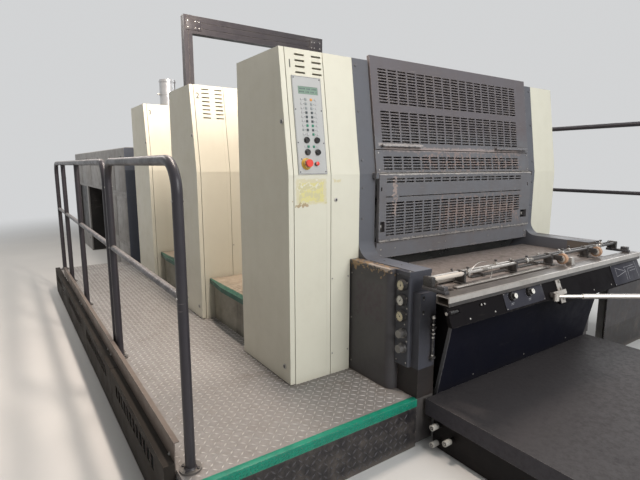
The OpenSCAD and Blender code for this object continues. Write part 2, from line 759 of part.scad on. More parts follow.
module table_fascia() color("black") place() {
    fascia_stretch(rail_y0 + 4, bracket_y + 1, fascia_near_h);
    fascia_stretch(bracket_y, rail_y1, fascia_h);
    plate_t = 2;
    on_fascia(knob_plate[0], plate_in) translate([0, 0, -1])
        cube([plate_down(fascia_near_h), knob_plate[1] - knob_plate[0], plate_t + 1]);
    on_fascia(diagram_y, plate_in) translate([0, 0, -1])
        cube([plate_down(fascia_h), rail_y1 - 4 - diagram_y, plate_t + 1]);
    for (y = knob_y) on_fascia(y, row_down) translate([0, 0, 1]) cylinder(r = knob_r + 4, h = plate_t + 3);
    for (y = socket_y) on_fascia(y, row_down) translate([0, 0, -1]) cylinder(r = 7, h = 8);
    on_fascia(lever_y, row_down) translate([0, 0, -1]) cylinder(r = 10, h = 26);
    on_fascia(lever_y, row_down) translate([0, 0, 16]) rotate([90, 0, 0]) cylinder(r = 8, h = 92);
}

// A frame on the fascia's face: its first axis runs down the slope, its third straight out
module on_fascia(y, down) {
    translate([fascia_x + fascia_t + down * sin(fascia_a), y, fascia_z - down * cos(fascia_a)])
        rotate([0, 90 - fascia_a, 0]) children();
}

knob_r = knob_d / 2;
knob_y = [957, 1117];
module knob(y) color("white") place() on_fascia(y, row_down) translate([0, 0, 6 + seat]) {
    cylinder(r = knob_r, h = 12);
    translate([0, 0, 11]) cylinder(r = knob_r * 0.72, h = 16);
}
module knob_1() knob(knob_y[0]);
module knob_2() knob(knob_y[1]);

// Two bars over the table's end, held in blocks on the rail and posts on the table
bar_x = table_l - 60;
bar_z = table_z + 60;
bar_r = 9;
bar_gap = 34;
wheel_x = bar_x + 51;
wheel_z = bar_z - 15;
wheel_y = [1610, 2045];
post_y = [720, 1180, 1560, 2010];
post_w = 22;
clamp_w = 32;
arm_gap = 18;
module hold_down_bars() color("gray") place() {
    for (x = [bar_x - bar_gap, bar_x]) rod_y(x, rail_y0 + 20, rail_y1 - 60, bar_z, bar_r);
    for (y = [rail_y0 + 15, rail_y1 - 95])
        block([bar_x - bar_gap - 16, y, rail_z], [table_l + rail_w / 2, y + clamp_w, bar_z + 16]);
    for (y = post_y)
        block([bar_x - bar_gap - 14, y, table_z], [bar_x + 14, y + post_w, bar_z + 14]);
    for (y = wheel_y) {
        rod_y(wheel_x, y - arm_gap - 8, y + 16, wheel_z, wheel_bore_d / 2);
        block([bar_x - 6, y - arm_gap - 10, wheel_z - 9], [wheel_x + 9, y - arm_gap, bar_z + 9]);
    }
}

module wheel(y) color("tan") place() difference() {
    rod_y(wheel_x, y - 12, y + 12, wheel_z, wheel_d / 2);
    rod_y(wheel_x, y - 13, y + 13, wheel_z, wheel_bore_d / 2 + pin_fit);
}
module wheel_1() wheel(wheel_y[0]);
module wheel_2() wheel(wheel_y[1]);

// A bracket on the fascia with a knuckle, and the tube that swings out from it
module swing_tube() color("silver") place() {
    bracket_w = 45;
    link_down = 70;
    swing_a = 56;
    knuckle = [fascia_x + 85, bracket_y - 75, fascia_z - 78];
    on_fascia(bracket_y + 2, 0) translate([5, 0, seat]) cube([fascia_h, bracket_w, 6]);
    on_fascia(knuckle[1] - 12, link_down) translate([0, 0, 4])
        cube([26, bracket_y + bracket_w - knuckle[1] + 12, 26]);
    rod_z(knuckle[0], knuckle[1], knuckle[2] - 24, knuckle[2] + 20, 17);
    translate(knuckle) rotate([0, 90, swing_a]) {
        cylinder(r = 10, h = 160);
        translate([0, 0, 150]) cylinder(r = 14, h = 490);
    }
}

// The lower front leans out to a fold and on up to the table
module front_cover() color("midnightblue") place() {
    x = deck_end + seat;
    fold = [46, table_z - 370];
    top = [95, table_z - 125];
    across(guard_y0 + 5, far_frame_y - seat)
        polygon([[x, deck_z + seat], [x + cover_t, deck_z + seat], [x + fold[0] + cover_t, fold[1]],
            [x + top[0] + cover_t, top[1]], [x + top[0], top[1]], [x + fold[0], fold[1]]]);
}

// Platform

module platform() color("dimgray") place() {
    y0 = frame_y + 45;
    y1 = far_tower_y - 60;
    x0 = platform_x;
    x1 = press_x1;
    difference() {
        block([x0, y0, deck_z - platform_t], [x1, y1, deck_z]);
        block([x0 + 6, y0 + 6, deck_z - platform_t - 1], [x1 - 6, y1 - 6, deck_z - 8]);
    }
}

module platform_beams() color("dimgray") place() {
    y0 = frame_y + 60;
    y1 = far_tower_y - 75;
    for (y = [y0 + 30, y1 - 90])
        block([platform_x + 20, y, 0], [press_x1 - 20, y + 60, deck_z - 8 - seat]);
    block([platform_x + 20, y0 + 60, 100], [platform_x + 80, y1 - 60, 160]);
    for (p = [[590, 143], [594, 49], [677, 100]])
        rod_y(p[0], frame_y + 20, y0 + 31, p[1], 15);
}

// Gantry and exhaust

gantry_x = -2 * unit_pitch - tower_l * 0.42;
groove = 7;

// A grooved profile, with the square from lo to hi as its outline and a groove in each side
module grooved(lo, hi, splits = 1) difference() {
    translate(lo) square(hi - lo);
    for (k = [1:splits]) for (x = [lo[0] - 1, hi[0] - groove + 1])
        translate([x, lo[1] + k * (hi[1] - lo[1]) / (splits + 1) - groove / 2]) square([groove, groove]);
    for (y = [lo[1] - 1, hi[1] - groove + 1])
        translate([(lo[0] + hi[0] - groove) / 2, y]) square([groove, groove]);
}

module gantry() color("slategray") place() {
    g = gantry_post / 2;
    near = frame_y + near_frame_t / 2;
    far = far_frame_y + far_frame_t / 2;
    for (y = [near, far])
        translate([0, 0, tower_top + seat]) linear_extrude(gantry_top - tower_top - seat)
            grooved([gantry_x - g, y - g], [gantry_x + g, y + g]);
    across(near + g + seat, far - g - seat)
        grooved([gantry_x - g, gantry_top - gantry_beam_h], [gantry_x + g, gantry_top - 2], 2);
}

module exhaust_stub() color("silver") place() {
    y = tower_d + 30;
    stub_h = 275;
    difference() {
        union() {
            rod_z(gantry_x, y, tower_top + seat, tower_top + stub_h, exhaust_d / 2);
            for (z = [10, 120, 250]) rod_z(gantry_x, y, tower_top + z, tower_top + z + 14, exhaust_d / 2 + 5);
        }
        rod_z(gantry_x, y, tower_top + 20, tower_top + stub_h + 1, exhaust_d / 2 - 3);
    }
}

// Delivery

// Upright seams in the near side of a housing
module side_seams(xs, z0, z1) {
    for (x = xs) block([x - seam_w / 2, -1, z0 - 1], [x + seam_w / 2, seam_in / 2, z1 + 1]);
}

panel_x = delivery_x - 615;
kick_z = 523;
module delivery_front() color("gray") place() {
    x0 = delivery_x - bay_start;
    x1 = delivery_x - seat;
    difference() {
        block([x0, 0, 0], [x1, far_side_y, bay_z]);
        side_seams([panel_x, x0 + 60], 0, bay_z);
        block([panel_x, -1, kick_z], [x1 + 1, seam_in / 2, kick_z + seam_w]);
        block([x0 - 1, -1, bay_z - seam_w], [x1 + 1, seam_in / 2, bay_z + 1]);
    }
}

module delivery_head() color("gray") place() {
    edge_r = 18;
    difference() {
        along(press_x0, delivery_x) {
            translate([0, bay_z + seat]) square([far_side_y, delivery_z - edge_r - bay_z - seat]);
            translate([edge_r, delivery_z - edge_r - 1]) square([far_side_y - 2 * edge_r, edge_r + 1]);
            for (y = [edge_r, far_side_y - edge_r]) translate([y, delivery_z - edge_r]) circle(r = edge_r);
        }
        side_seams([panel_x, panel_x - 670, panel_x - 1900, panel_x - 2900], bay_z, delivery_z);
    }
}

// The end housing has a recessed panel beside its corner post
module delivery_end() color("gray") place() {
    x1 = delivery_x - bay_start - bay_l;
    post_l = 150;
    recess = 40;
    difference() {
        block([press_x0, 0, 0], [x1, far_side_y, bay_z]);
        block([press_x0 + post_l + 75, -1, kick_z - 223], [x1 - post_l, recess, bay_z - seam_w]);
    }
}

module delivery_pile_board() color("tan") place() {
    x1 = delivery_x - bay_start - seat;
    x0 = delivery_x - bay_start - bay_l + 60;
    side = 400;
    skid_h = 120;
    skid_w = 80;
    block([x0, side, skid_h], [x1, far_side_y - side, skid_h + 40]);
    for (x = [x0, (x0 + x1 - skid_w) / 2, x1 - skid_w])
        block([x, side, 0], [x + skid_w, far_side_y - side, skid_h + 1]);
}

machine_bed();
gallery_deck();
toe_board();
gallery_skirt();
railing_1();
railing_2();
far_deck();
far_railing();
tower_1();
tower_2();
tower_3();
door_1();
door_2();
door_3();
frame_covers();
far_towers();
unit_frame_1();
unit_frame_2();
unit_frame_3();
unit_roofs();
unit_steps();
control_panel();
panel_keys();
panel_buttons();
estop_button();
guard_upper();
guard_middle();
guard_lower();
guard_sill();
inner_guards();
rear_guards();
print_cylinders();
ink_rollers();
side_cabinet_near();
side_cabinet_far();
gauge_box();
gauges();
infeed_frame();
feed_table();
table_rail();
table_fascia();
knob_1();
knob_2();
hold_down_bars();
wheel_1();
wheel_2();
swing_tube();
front_cover();
platform();
platform_beams();
gantry();
exhaust_stub();
delivery_front();
delivery_head();
delivery_end();
delivery_pile_board();
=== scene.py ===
"""The looks of a sheet-fed offset printing press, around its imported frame."""

import math
from itertools import pairwise, product

import bmesh
import bpy
from mathutils import Matrix, Vector


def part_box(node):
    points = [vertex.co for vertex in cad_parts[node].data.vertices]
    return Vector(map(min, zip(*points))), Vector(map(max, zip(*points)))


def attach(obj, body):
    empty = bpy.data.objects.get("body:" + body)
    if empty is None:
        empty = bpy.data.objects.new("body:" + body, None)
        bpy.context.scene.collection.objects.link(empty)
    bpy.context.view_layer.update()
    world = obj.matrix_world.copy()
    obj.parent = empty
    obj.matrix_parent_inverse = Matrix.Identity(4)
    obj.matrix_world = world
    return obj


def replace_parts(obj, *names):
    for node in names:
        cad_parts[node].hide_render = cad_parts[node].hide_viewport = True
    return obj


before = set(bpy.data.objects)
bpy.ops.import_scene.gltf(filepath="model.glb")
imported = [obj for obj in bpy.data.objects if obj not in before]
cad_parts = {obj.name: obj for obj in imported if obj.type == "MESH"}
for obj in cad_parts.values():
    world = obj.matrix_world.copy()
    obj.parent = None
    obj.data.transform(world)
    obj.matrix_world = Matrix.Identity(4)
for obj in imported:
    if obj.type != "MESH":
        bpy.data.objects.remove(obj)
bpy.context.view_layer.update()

# The viewpoint
# A person stands on the floor off the infeed corner and looks along the operating side, a
# little down. Places are measured from the first tower's foot at the infeed, in metres.
datum = Vector((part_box("feed_table")[0][0] - 0.0003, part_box("unit_frame_1")[0][1] - 0.475, 0))
move = Matrix.Translation
upright = move(datum)
sensor_width, focal_pixels, picture_pixels = 36, 461, 640
look_down, look_aside = 9.24, 34.42


def new_object(name, data):
    thing = bpy.data.objects.new(name, data)
    bpy.context.collection.objects.link(thing)
    return thing


camera = new_object("camera", bpy.data.cameras.new("camera"))
camera.data.sensor_width = sensor_width
camera.data.lens = sensor_width * focal_pixels / picture_pixels
camera.data.clip_end = 90
camera.location = datum + Vector((2.081, -1.228, 1.492))
camera.rotation_euler = (math.radians(90 - look_down), 0, math.radians(90 - look_aside))
bpy.context.scene.camera = camera

# The studio
# A pale floor that fades into an even pale surround a few metres off, and keeps the press's
# shadow. Long lamps hang in rows over the press as in a works hall, with a wash from all sides.
bpy.context.scene.view_settings.view_transform = "Standard"
surround_white = (0.83, 0.84, 0.85, 1)
surround_strength = 0.78


def cleared_tree(owner):
    owner.use_nodes = True
    owner.node_tree.nodes.clear()
    return owner.node_tree


def add_node(tree, kind, inputs, **settings):
    """A shader node: its settings, then a value or a feeding socket for each input named."""
    node = tree.nodes.new("ShaderNode" + kind)
    for key, value in settings.items():
        setattr(node, key, value)
    for key, value in inputs.items():
        if isinstance(value, bpy.types.NodeSocket):
            tree.links.new(value, node.inputs[key])
        else:
            node.inputs[key].default_value = value
    return node


def maths(tree, operation, first, *others, clamp=True):
    """Puts values together one by one, each result kept between 0 and 1."""
    for other in others:
        first = add_node(tree, "Math", {0: first, 1: other}, operation=operation, use_clamp=clamp).outputs[0]
    return first


def smooth_step(tree, value, low, high):
    return add_node(tree, "MapRange", {"Value": value, "From Min": low, "From Max": high},
                    interpolation_type="SMOOTHSTEP").outputs[0]


def camera_sees(tree):
    """1 where the eye, a reflection or glass looks at the surface, 0 where light falls on it."""
    path = add_node(tree, "LightPath", {}).outputs
    return maths(tree, "ADD", path["Is Camera Ray"], path["Is Glossy Ray"], path["Is Transmission Ray"])


floor_material = bpy.data.materials.new("studio_floor")
tree = cleared_tree(floor_material)
coords = add_node(tree, "TexCoord", {}).outputs["Object"]
clouds = add_node(tree, "TexNoise", {"Vector": coords, "Scale": 1.5, "Detail": 6})
ramp = add_node(tree, "ValToRGB", {0: clouds.outputs["Fac"]})
ramp.color_ramp.elements[0].color = (0.56, 0.56, 0.55, 1)
ramp.color_ramp.elements[1].color = (0.64, 0.64, 0.62, 1)
matt = add_node(tree, "BsdfPrincipled", {"Base Color": ramp.outputs[0], "Roughness": 0.7})
oval = add_node(tree, "VectorMath", {0: coords, 1: (0.64, 1, 1)}, operation="MULTIPLY")
distance = add_node(tree, "VectorMath", {0: oval.outputs[0]}, operation="LENGTH")
fade = smooth_step(tree, distance.outputs["Value"], 3.4, 7)
glow = add_node(tree, "Emission", {"Color": surround_white, "Strength": surround_strength})
blend = add_node(tree, "MixShader", {0: maths(tree, "MULTIPLY", fade, camera_sees(tree)),
                                     1: matt.outputs[0], 2: glow.outputs[0]})
add_node(tree, "OutputMaterial", {0: blend.outputs[0]})
bm = bmesh.new()
bmesh.ops.create_grid(bm, x_segments=1, y_segments=1, size=60)
floor = new_object("studio_floor", bpy.data.meshes.new("studio_floor"))
bm.to_mesh(floor.data)
bm.clear()
floor.data.materials.append(floor_material)
floor.location.z = -0.002
for name, place, target, size, power, colour in (
        ("lamp_infeed", (4.8, 0.9, 3.5), (0, 1, 1.1), (3, 3), 246, (1, 1, 1)),
        ("lamp_unit_2", (-0.4, 0.1, 3.6), (-1.45, 0, 1), (0.2, 0.9), 98, (1, 0.85, 0.74)),
        ("lamp_unit_3", (-1.75, 0.1, 3.6), (-2.8, 0, 1), (0.2, 0.9), 55, (1, 0.86, 0.76)),
        ("lamp_delivery", (-6.2, -1.6, 4.4), (-6.1, -0.5, 0), (3.5, 0.6), 95, (1, 0.95, 0.9)),
        ("lamp_far_row", (-3, 3.4, 5), (-4, 3.4, 0), (0.8, 8), 85, (1, 1, 1)),
        ("lamp_operating_side", (-1.5, -6, 3.6), (-2, 0.5, 1), (7, 2.5), 12, (1, 0.68, 0.48)),
        ("lamp_drive_side", (-3, 8, 4.5), (-2, 1.5, 1), (6, 3), 165, (1, 1, 1))):
    lamp = bpy.data.lights.new(name, "AREA")
    lamp.shape = "RECTANGLE"
    lamp.size, lamp.size_y = size
    lamp.energy, lamp.color = power, colour
    hung = new_object(name, lamp)
    hung.location = datum + Vector(place)
    aim = datum + Vector(target) - hung.location
    hung.rotation_euler = aim.to_track_quat("-Z", "Y").to_euler()
world = bpy.data.worlds.new("surround")
bpy.context.scene.world = world
tree = cleared_tree(world)
share = add_node(tree, "Mix", {0: camera_sees(tree), 2: 0.27, 3: surround_strength}, data_type="FLOAT")
glow = add_node(tree, "Background", {"Color": surround_white, "Strength": share.outputs[0]})
add_node(tree, "OutputWorld", {0: glow.outputs[0]})

# The machine bed
# Two cast sills on levelling pads, tied by cross members, carry the units above the floor. They
# are cast iron in dark machine paint, worn through where boots and trolleys have met them.


def new_group(name, inputs, outputs):
    """A node group with sockets by kind, and what its inputs give and its outputs take."""
    group = bpy.data.node_groups.new(name, "ShaderNodeTree")
    for in_out, sockets in (("INPUT", inputs), ("OUTPUT", outputs)):
        for kind, names in sockets.items():
            for socket in names:
                group.interface.new_socket(name=socket, in_out=in_out, socket_type="NodeSocket" + kind)
    return group, group.nodes.new("NodeGroupInput").outputs, group.nodes.new("NodeGroupOutput").inputs


def shop_wear_group():
    """Paint that is chipped at its edges, scratched, streaked, and grimy in patches, its hollows darkened towards the
    grime colour by ambient occlusion, as grime and painted shade together.
    """
    group, given, taken = new_group("shop_wear", {
        "Color": ("Paint", "Under", "Grime And Shade"),
        "Float": ("Edge Width", "Chips", "Dirt", "Corner Grime And Shade", "Streaks", "Scratches", "Scale", "Roughness")},
        {"Color": ("Color",), "Float": ("Roughness", "Height")})
    coords = add_node(group, "TexCoord", {}).outputs["Object"]

    def stretched(along):
        return add_node(group, "VectorMath", {0: coords, 1: along}, operation="MULTIPLY").outputs[0]

    def noise(scale, detail, rough, place=coords):
        size = maths(group, "MULTIPLY", given["Scale"], scale, clamp=False)
        return add_node(group, "TexNoise", {"Vector": place, "Scale": size, "Detail": detail,
                                            "Roughness": rough}).outputs["Fac"]

    def remap(value, low, high):
        return smooth_step(group, value, low, high)

    def times(*values):
        return maths(group, "MULTIPLY", *values)

    def mix(factor, a, b):
        return add_node(group, "Mix", {0: factor, 6: a, 7: b}, data_type="RGBA").outputs[2]

    bevel = add_node(group, "Bevel", {"Radius": given["Edge Width"]}, samples=4).outputs[0]
    normal = add_node(group, "NewGeometry", {}).outputs["Normal"]
    turned = add_node(group, "VectorMath", {0: bevel, 1: normal}, operation="DOT_PRODUCT").outputs["Value"]
    flecks = remap(noise(38, 5, 0.7), 0.47, 0.6)
    worn_edge = times(remap(turned, 0.995, 0.8), flecks, given["Chips"])
    patches = remap(noise(2.2, 6, 0.65), 0.5, 0.78)
    speckle = times(remap(noise(120, 3, 0.5), 0.7, 0.75), patches)
    scratch = remap(noise(30, 2, 0.5, stretched((0.15, 0.15, 2.6))), 0.66, 0.7)
    bare = maths(group, "MAXIMUM", worn_edge, speckle, times(scratch, patches, given["Scratches"]))
    cloud = remap(noise(7, 8, 0.7), 0.35, 0.75)
    runs = times(remap(noise(9, 4, 0.6, stretched((1, 1, 0.06))), 0.5, 0.72), given["Streaks"])
    # ambient occlusion darkens corners and creases towards the grime colour: grime and painted shade together
    hollow = add_node(group, "AmbientOcclusion", {"Distance": 0.05}, samples=3).outputs["AO"]
    crease_grime_and_shade = times(remap(hollow, 0.92, 0.4), given["Corner Grime And Shade"])
    dirt = times(maths(group, "ADD", times(patches, 0.8), times(cloud, 0.5)), given["Dirt"])
    soiled_and_shaded = maths(group, "ADD", dirt, runs, crease_grime_and_shade)
    peel = times(noise(260, 2, 0.5), 0.35)
    for socket, value in (
            ("Color", mix(bare, mix(soiled_and_shaded, given["Paint"], given["Grime And Shade"]), given["Under"])),
            ("Roughness", maths(group, "ADD", given["Roughness"], times(cloud, 0.22))),
            ("Height", maths(group, "SUBTRACT", peel, times(bare, 0.6)))):
        group.links.new(value, taken[socket])
    return group


def patch_group():
    """A stretch of a surface inside a box, with a clean or a ragged edge."""
    group, given, taken = new_group("patch_in_box", {"Vector": ("Low", "High"), "Float": ("Soft", "Ragged")},
                                    {"Float": ("Mask",)})
    coords = add_node(group, "TexCoord", {}).outputs["Object"]
    noise = add_node(group, "TexNoise", {"Vector": coords, "Scale": 45, "Detail": 6}).outputs["Fac"]
    above = add_node(group, "VectorMath", {0: coords, 1: given["Low"]}, operation="SUBTRACT").outputs[0]
    below = add_node(group, "VectorMath", {0: given["High"], 1: coords}, operation="SUBTRACT").outputs[0]
    inner = add_node(group, "VectorMath", {0: above, 1: below}, operation="MINIMUM").outputs[0]
    parts = add_node(group, "SeparateXYZ", {0: inner}).outputs
    depth = maths(group, "MINIMUM", *parts, clamp=False)
    shift = maths(group, "SUBTRACT", noise, 0.56, clamp=False)
    torn = add_node(group, "Math", {0: shift, 1: given["Ragged"], 2: depth}, operation="MULTIPLY_ADD").outputs[0]
    mask = add_node(group, "MapRange", {"Value": torn, "From Max": given["Soft"]}).outputs[0]
    group.links.new(mask, taken["Mask"])
    return group


shop_wear = shop_wear_group()
patch_in_box = patch_group()


def in_patch(tree, colour, shine, low, high, patch_colour, patch_shine=0, soft=0.0005, ragged=0):
    """Lays another colour and metallic over those given, inside a box."""
    inside = add_node(tree, "Group", {"Low": datum + Vector(low), "High": datum + Vector(high),
                                      "Soft": soft, "Ragged": ragged}, node_tree=patch_in_box).outputs[0]
    return (add_node(tree, "Mix", {0: inside, 6: colour, 7: (*patch_colour, 1)}, data_type="RGBA").outputs[2],
            add_node(tree, "Mix", {0: inside, 2: shine, 3: patch_shine}, data_type="FLOAT").outputs[0])


def painted(name, paint, under=(0.35, 0.34, 0.33), grime_and_shade=(0.12, 0.11, 0.1), edge=0.004, chips=0.6, dirt=0.3,
            corners=0.5, streaks=0.08, scratches=0.15, scale=1, rough=0.42, metallic=0, bump=0.12, coat=0,
            specular=0.35, patches=()):
    """Worn paint or metal. Each patch is low corner, high corner, colour, metallic, soft, ragged."""
    material = bpy.data.materials.new(name)
    tree = cleared_tree(material)
    colour, shine = (*paint, 1), metallic
    for patch in patches:
        colour, shine = in_patch(tree, colour, shine, *patch)
    # corners sets how far hollows darken towards the grime colour, as grime and painted shade together
    wear = add_node(tree, "Group", {
        "Paint": colour, "Under": (*under, 1), "Grime And Shade": (*grime_and_shade, 1), "Edge Width": edge, "Chips": chips,
        "Dirt": dirt, "Corner Grime And Shade": corners, "Streaks": streaks, "Scratches": scratches, "Scale": scale,
        "Roughness": rough}, node_tree=shop_wear).outputs
    relief = add_node(tree, "Bump", {"Strength": bump, "Distance": 0.001, "Height": wear["Height"]})
    shader = add_node(tree, "BsdfPrincipled", {
        "Base Color": wear["Color"], "Roughness": wear["Roughness"], "Metallic": shine, "Coat Weight": coat,
        "Specular IOR Level": max(specular, min(1, metallic)), "Normal": relief.outputs[0]})
    add_node(tree, "OutputMaterial", {0: shader.outputs[0]})
    return material


def dress(material, *nodes):
    for node in nodes:
        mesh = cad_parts[node].data
        mesh.materials.clear()
        mesh.materials.append(material)


dress(painted("dark_casting", (0.04, 0.037, 0.038), under=(0.16, 0.13, 0.11), dirt=0.4, rough=0.5), "machine_bed")

# The galleries and the platform
# Steel tread plate with raised lozenges, dusty and rubbed bright where people walk; the lozenges
# are lighter still as a painted highlight, and the decks are painted darker at their near end as
# shade. The near gallery ends in a riser of the same plate, painted dark, under a green safety edge.


def corners(node):
    """A node's lowest and highest corners, from the datum."""
    return [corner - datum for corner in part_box(node)]


far = 9
unit_pitch = 1.37
gallery_low, gallery_high = corners("gallery_deck")
deck_end_x, deck_top = gallery_high.x, gallery_high.z
far_low, far_high = corners("far_deck")
units_back_x = corners("delivery_front")[1].x
platform_top = corners("platform")[1].z
riser_back_y = 0.4747
step_board_z, step_top = 0.566, 0.6
# the box in which the decks' plate and lozenges are painted darker, as shade at the near end
shade_low, shade_high = (-0.5, -far, 0), (far, 0.5, 1)
tread_steel = painted(
    "tread_steel", (0.285, 0.276, 0.268), under=(0.46, 0.43, 0.4), grime_and_shade=(0.15, 0.128, 0.11), dirt=0.55,
    chips=0.8, metallic=0.3, scale=2.6, bump=0.25, corners=0.7, specular=0.3,
    patches=[(shade_low, shade_high, (0.185, 0.18, 0.177), 0.3, 0.5, 0.5),
             ((far_high.x - 0.006, 2.4, -1), (far, far, far_high.z - 0.04), (0.026, 0.025, 0.03)),
             ((deck_end_x - 0.006, -far, -1), (far, far, deck_top - 0.04), (0.012, 0.0115, 0.014))])
# the lozenges: rubbed steel, made lighter still as a painted highlight
lozenge_steel = painted(
    "lozenge_steel", (0.6, 0.585, 0.565), under=(0.75, 0.72, 0.68), edge=0.001, grime_and_shade=(0.2, 0.175, 0.155),
    dirt=0.5, corners=0.3, rough=0.3, metallic=0.45, scale=2.6,
    patches=[(shade_low, shade_high, (0.38, 0.372, 0.362), 0.45, 0.5, 0.5)])
riser_lozenge = painted(
    "riser_lozenge", (0.075, 0.075, 0.086), under=(0.3, 0.29, 0.28), edge=0.001, grime_and_shade=(0.03, 0.028, 0.03),
    dirt=0.5, rough=0.36, metallic=0.3, scale=2.6)
platform_steel = painted(
    "platform_steel", (0.042, 0.039, 0.046), under=(0.24, 0.22, 0.21), grime_and_shade=(0.02, 0.018, 0.02), dirt=0.5,
    rough=0.5, chips=1, specular=0.25, scale=6,
    patches=[((-far, -far, platform_top - 0.0006), (far, far, 1), (0.046, 0.042, 0.043), 0, 0.0003)])
safety_green = painted(
    "safety_green", (0.009, 0.215, 0.138), under=(0.17, 0.2, 0.18), grime_and_shade=(0.01, 0.075, 0.055), chips=1,
    dirt=0.7, edge=0.006, scale=3, specular=0.25)
# the steps: their cream paint drawn darker as painted shade, a green nosing, and a lighter tan top behind it
step_paint_and_shade = painted(
    "step_paint_and_shade", (0.27, 0.257, 0.208), under=(0.3, 0.28, 0.24), grime_and_shade=(0.07, 0.066, 0.054), dirt=0.6,
    streaks=0.4, patches=[((-far, -far, step_board_z - 0.004), (far, far, 1), (0.01, 0.09, 0.062)),
                          ((-far, 0.08, step_top - 0.0045), (far, far, 1), (0.33, 0.275, 0.21), 0, 0.002, 0.009)])
screw_steel = painted("screw_steel", (0.5, 0.48, 0.45), under=(0.2, 0.17, 0.14), rough=0.3, metallic=0.9,
                      edge=0.001, scale=4)
black_screw = painted("black_screw", (0.018, 0.018, 0.02), dirt=0.2, rough=0.35, edge=0.001)
dress(tread_steel, "gallery_deck", "far_deck")
dress(platform_steel, "platform")
dress(step_paint_and_shade, "unit_steps")
sharp_angle = math.radians(32)
X, Y, Z = range(3)


def add_piece(name, mesh, body):
    thing = new_object(name, mesh)
    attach(thing, body)
    return thing


def piece(name, materials, place=upright, body="press"):
    """Closes what was built: its place goes into its mesh, and only its sharp edges stay sharp."""
    bmesh.ops.transform(bm, matrix=place, verts=bm.verts)
    for face in bm.faces:
        face.smooth = True
    for line in bm.edges:
        line.smooth = line.calc_face_angle(0) < sharp_angle
    mesh = bpy.data.meshes.new(name)
    bm.to_mesh(mesh)
    bm.clear()
    for material in materials:
        mesh.materials.append(material)
    return add_piece(name, mesh, body)


def lines_of(verts):
    return list({line for vert in verts for line in vert.link_edges})


def tint(verts, skin):
    for face in {face for vert in verts for face in vert.link_faces}:
        face.material_index = skin


def rounded(lines, edge):
    if edge:
        bmesh.ops.bevel(bm, geom=lines, offset=edge, segments=2, profile=0.5, affect="EDGES", material=-1)


def cube(shape, skin=0):
    made = bmesh.ops.create_cube(bm, size=1, matrix=shape)["verts"]
    tint(made, skin)
    return made


def cone(shape, around, radius, top_radius, depth, skin=0, capped=True):
    made = bmesh.ops.create_cone(bm, cap_ends=capped, segments=around, radius1=radius, radius2=top_radius,
                                 depth=depth, matrix=shape)["verts"]
    tint(made, skin)
    return made


def block(corner, opposite, edge=0, skin=0):
    """A box between two opposite corners, its edges rounded."""
    low = Vector([min(pair) for pair in zip(corner, opposite)])
    high = Vector([max(pair) for pair in zip(corner, opposite)])
    made = cube(move((low + high) / 2) @ Matrix.Diagonal((*(high - low), 1)), skin)
    rounded(lines_of(made), edge)


def bar(start, end, radius, around=16, edge=0, skin=0):
    """A round bar, or a hexagon with six sides, its rims rounded."""
    start, end = Vector(start), Vector(end)
    axis = end - start
    shape = move((start + end) / 2) @ axis.to_track_quat("Z", "Y").to_matrix().to_4x4()
    made = cone(shape, around, radius, radius, axis.length, skin)
    rounded([line for line in lines_of(made)
             if abs((line.verts[0].co - line.verts[1].co).normalized().dot(axis.normalized())) < 0.5], edge)


def rod(start, axis, stop, *form):
    """A bar from a place along x, y or z, up to a coordinate."""
    end = Vector(start)
    end[axis] = stop
    bar(start, end, *form)


def screw(place, out, radius=0.005, proud=0.0025, skin=0):
    """A cheese head with a hexagon socket drawn as a small dark face."""
    place, out = Vector(place), Vector(out).normalized()
    bar(place - out * 0.001, place + out * proud, radius, 12, radius * 0.22, skin)
    bar(place + out * (proud - 0.0002), place + out * (proud + 0.0003), radius * 0.42, 6)
    for face in bm.faces[-8:]:
        face.material_index = 1


def tread_plate(name, low, high, z, material, pitch=0.034, stand=Matrix.Identity(4)):
    """Raised lozenges in alternate directions, as an array of a cell of four."""
    for column, row in product(range(2), repeat=2):
        turn = Matrix.Rotation(math.radians(45 if column == row else -45), 4, "Z")
        cone(move((low[0] + (column + 0.5) * pitch, low[1] + (row + 0.5) * pitch, z + 0.0005)) @ turn
             @ Matrix.Diagonal((1, 0.25, 1, 1)), 4, pitch * 0.5, pitch * 0.32, 0.002, 0, False)
    rims = [line for line in bm.edges if line.is_boundary and line.verts[0].co.z > z + 0.001]
    bmesh.ops.holes_fill(bm, edges=rims, sides=4)
    bmesh.ops.recalc_face_normals(bm, faces=bm.faces)
    bmesh.ops.reverse_faces(bm, faces=[face for face in bm.faces if face.normal.z < 0])
    plate = piece(name, [material], upright @ stand)
    for axis in (X, Y):
        rows = plate.modifiers.new("rows_%d" % axis, "ARRAY")
        rows.use_relative_offset = False
        rows.use_constant_offset = True
        rows.constant_offset_displace = stand.to_3x3().col[axis] * 2 * pitch
        rows.count = int((high[axis] - low[axis]) / (2 * pitch))


for name, low, high, z in (
        ("gallery_treads", (units_back_x + 0.01, gallery_low.y + 0.01), (deck_end_x - 0.028, 0.46), deck_top),
        ("gallery_end_treads", (gallery_low.x + 0.01, gallery_low.y + 0.01), (units_back_x, -0.01), deck_top),
        ("far_gallery_treads", (far_low.x + 0.01, far_low.y + 0.01), (far_high.x - 0.01, far_high.y - 0.01),
         far_high.z)):
    tread_plate(name, low, high, z, lozenge_steel)
facing_infeed = Matrix(((0, 0, 1, 0), (1, 0, 0, 0), (0, 1, 0, 0), (0, 0, 0, 1)))
tread_plate("riser_treads", (gallery_low.y + 0.008, 0.01), (riser_back_y, deck_top - 0.042), deck_end_x,
            riser_lozenge, stand=facing_infeed)
for number in (1, 2):
    back = -(number - 1) * unit_pitch - 0.63
    tread_plate("step_treads_%d" % number, (back - 0.41, 0.045), (back - 0.01, 0.44), step_top, step_paint_and_shade,
                0.026)
green_face_x = deck_end_x + 0.0025
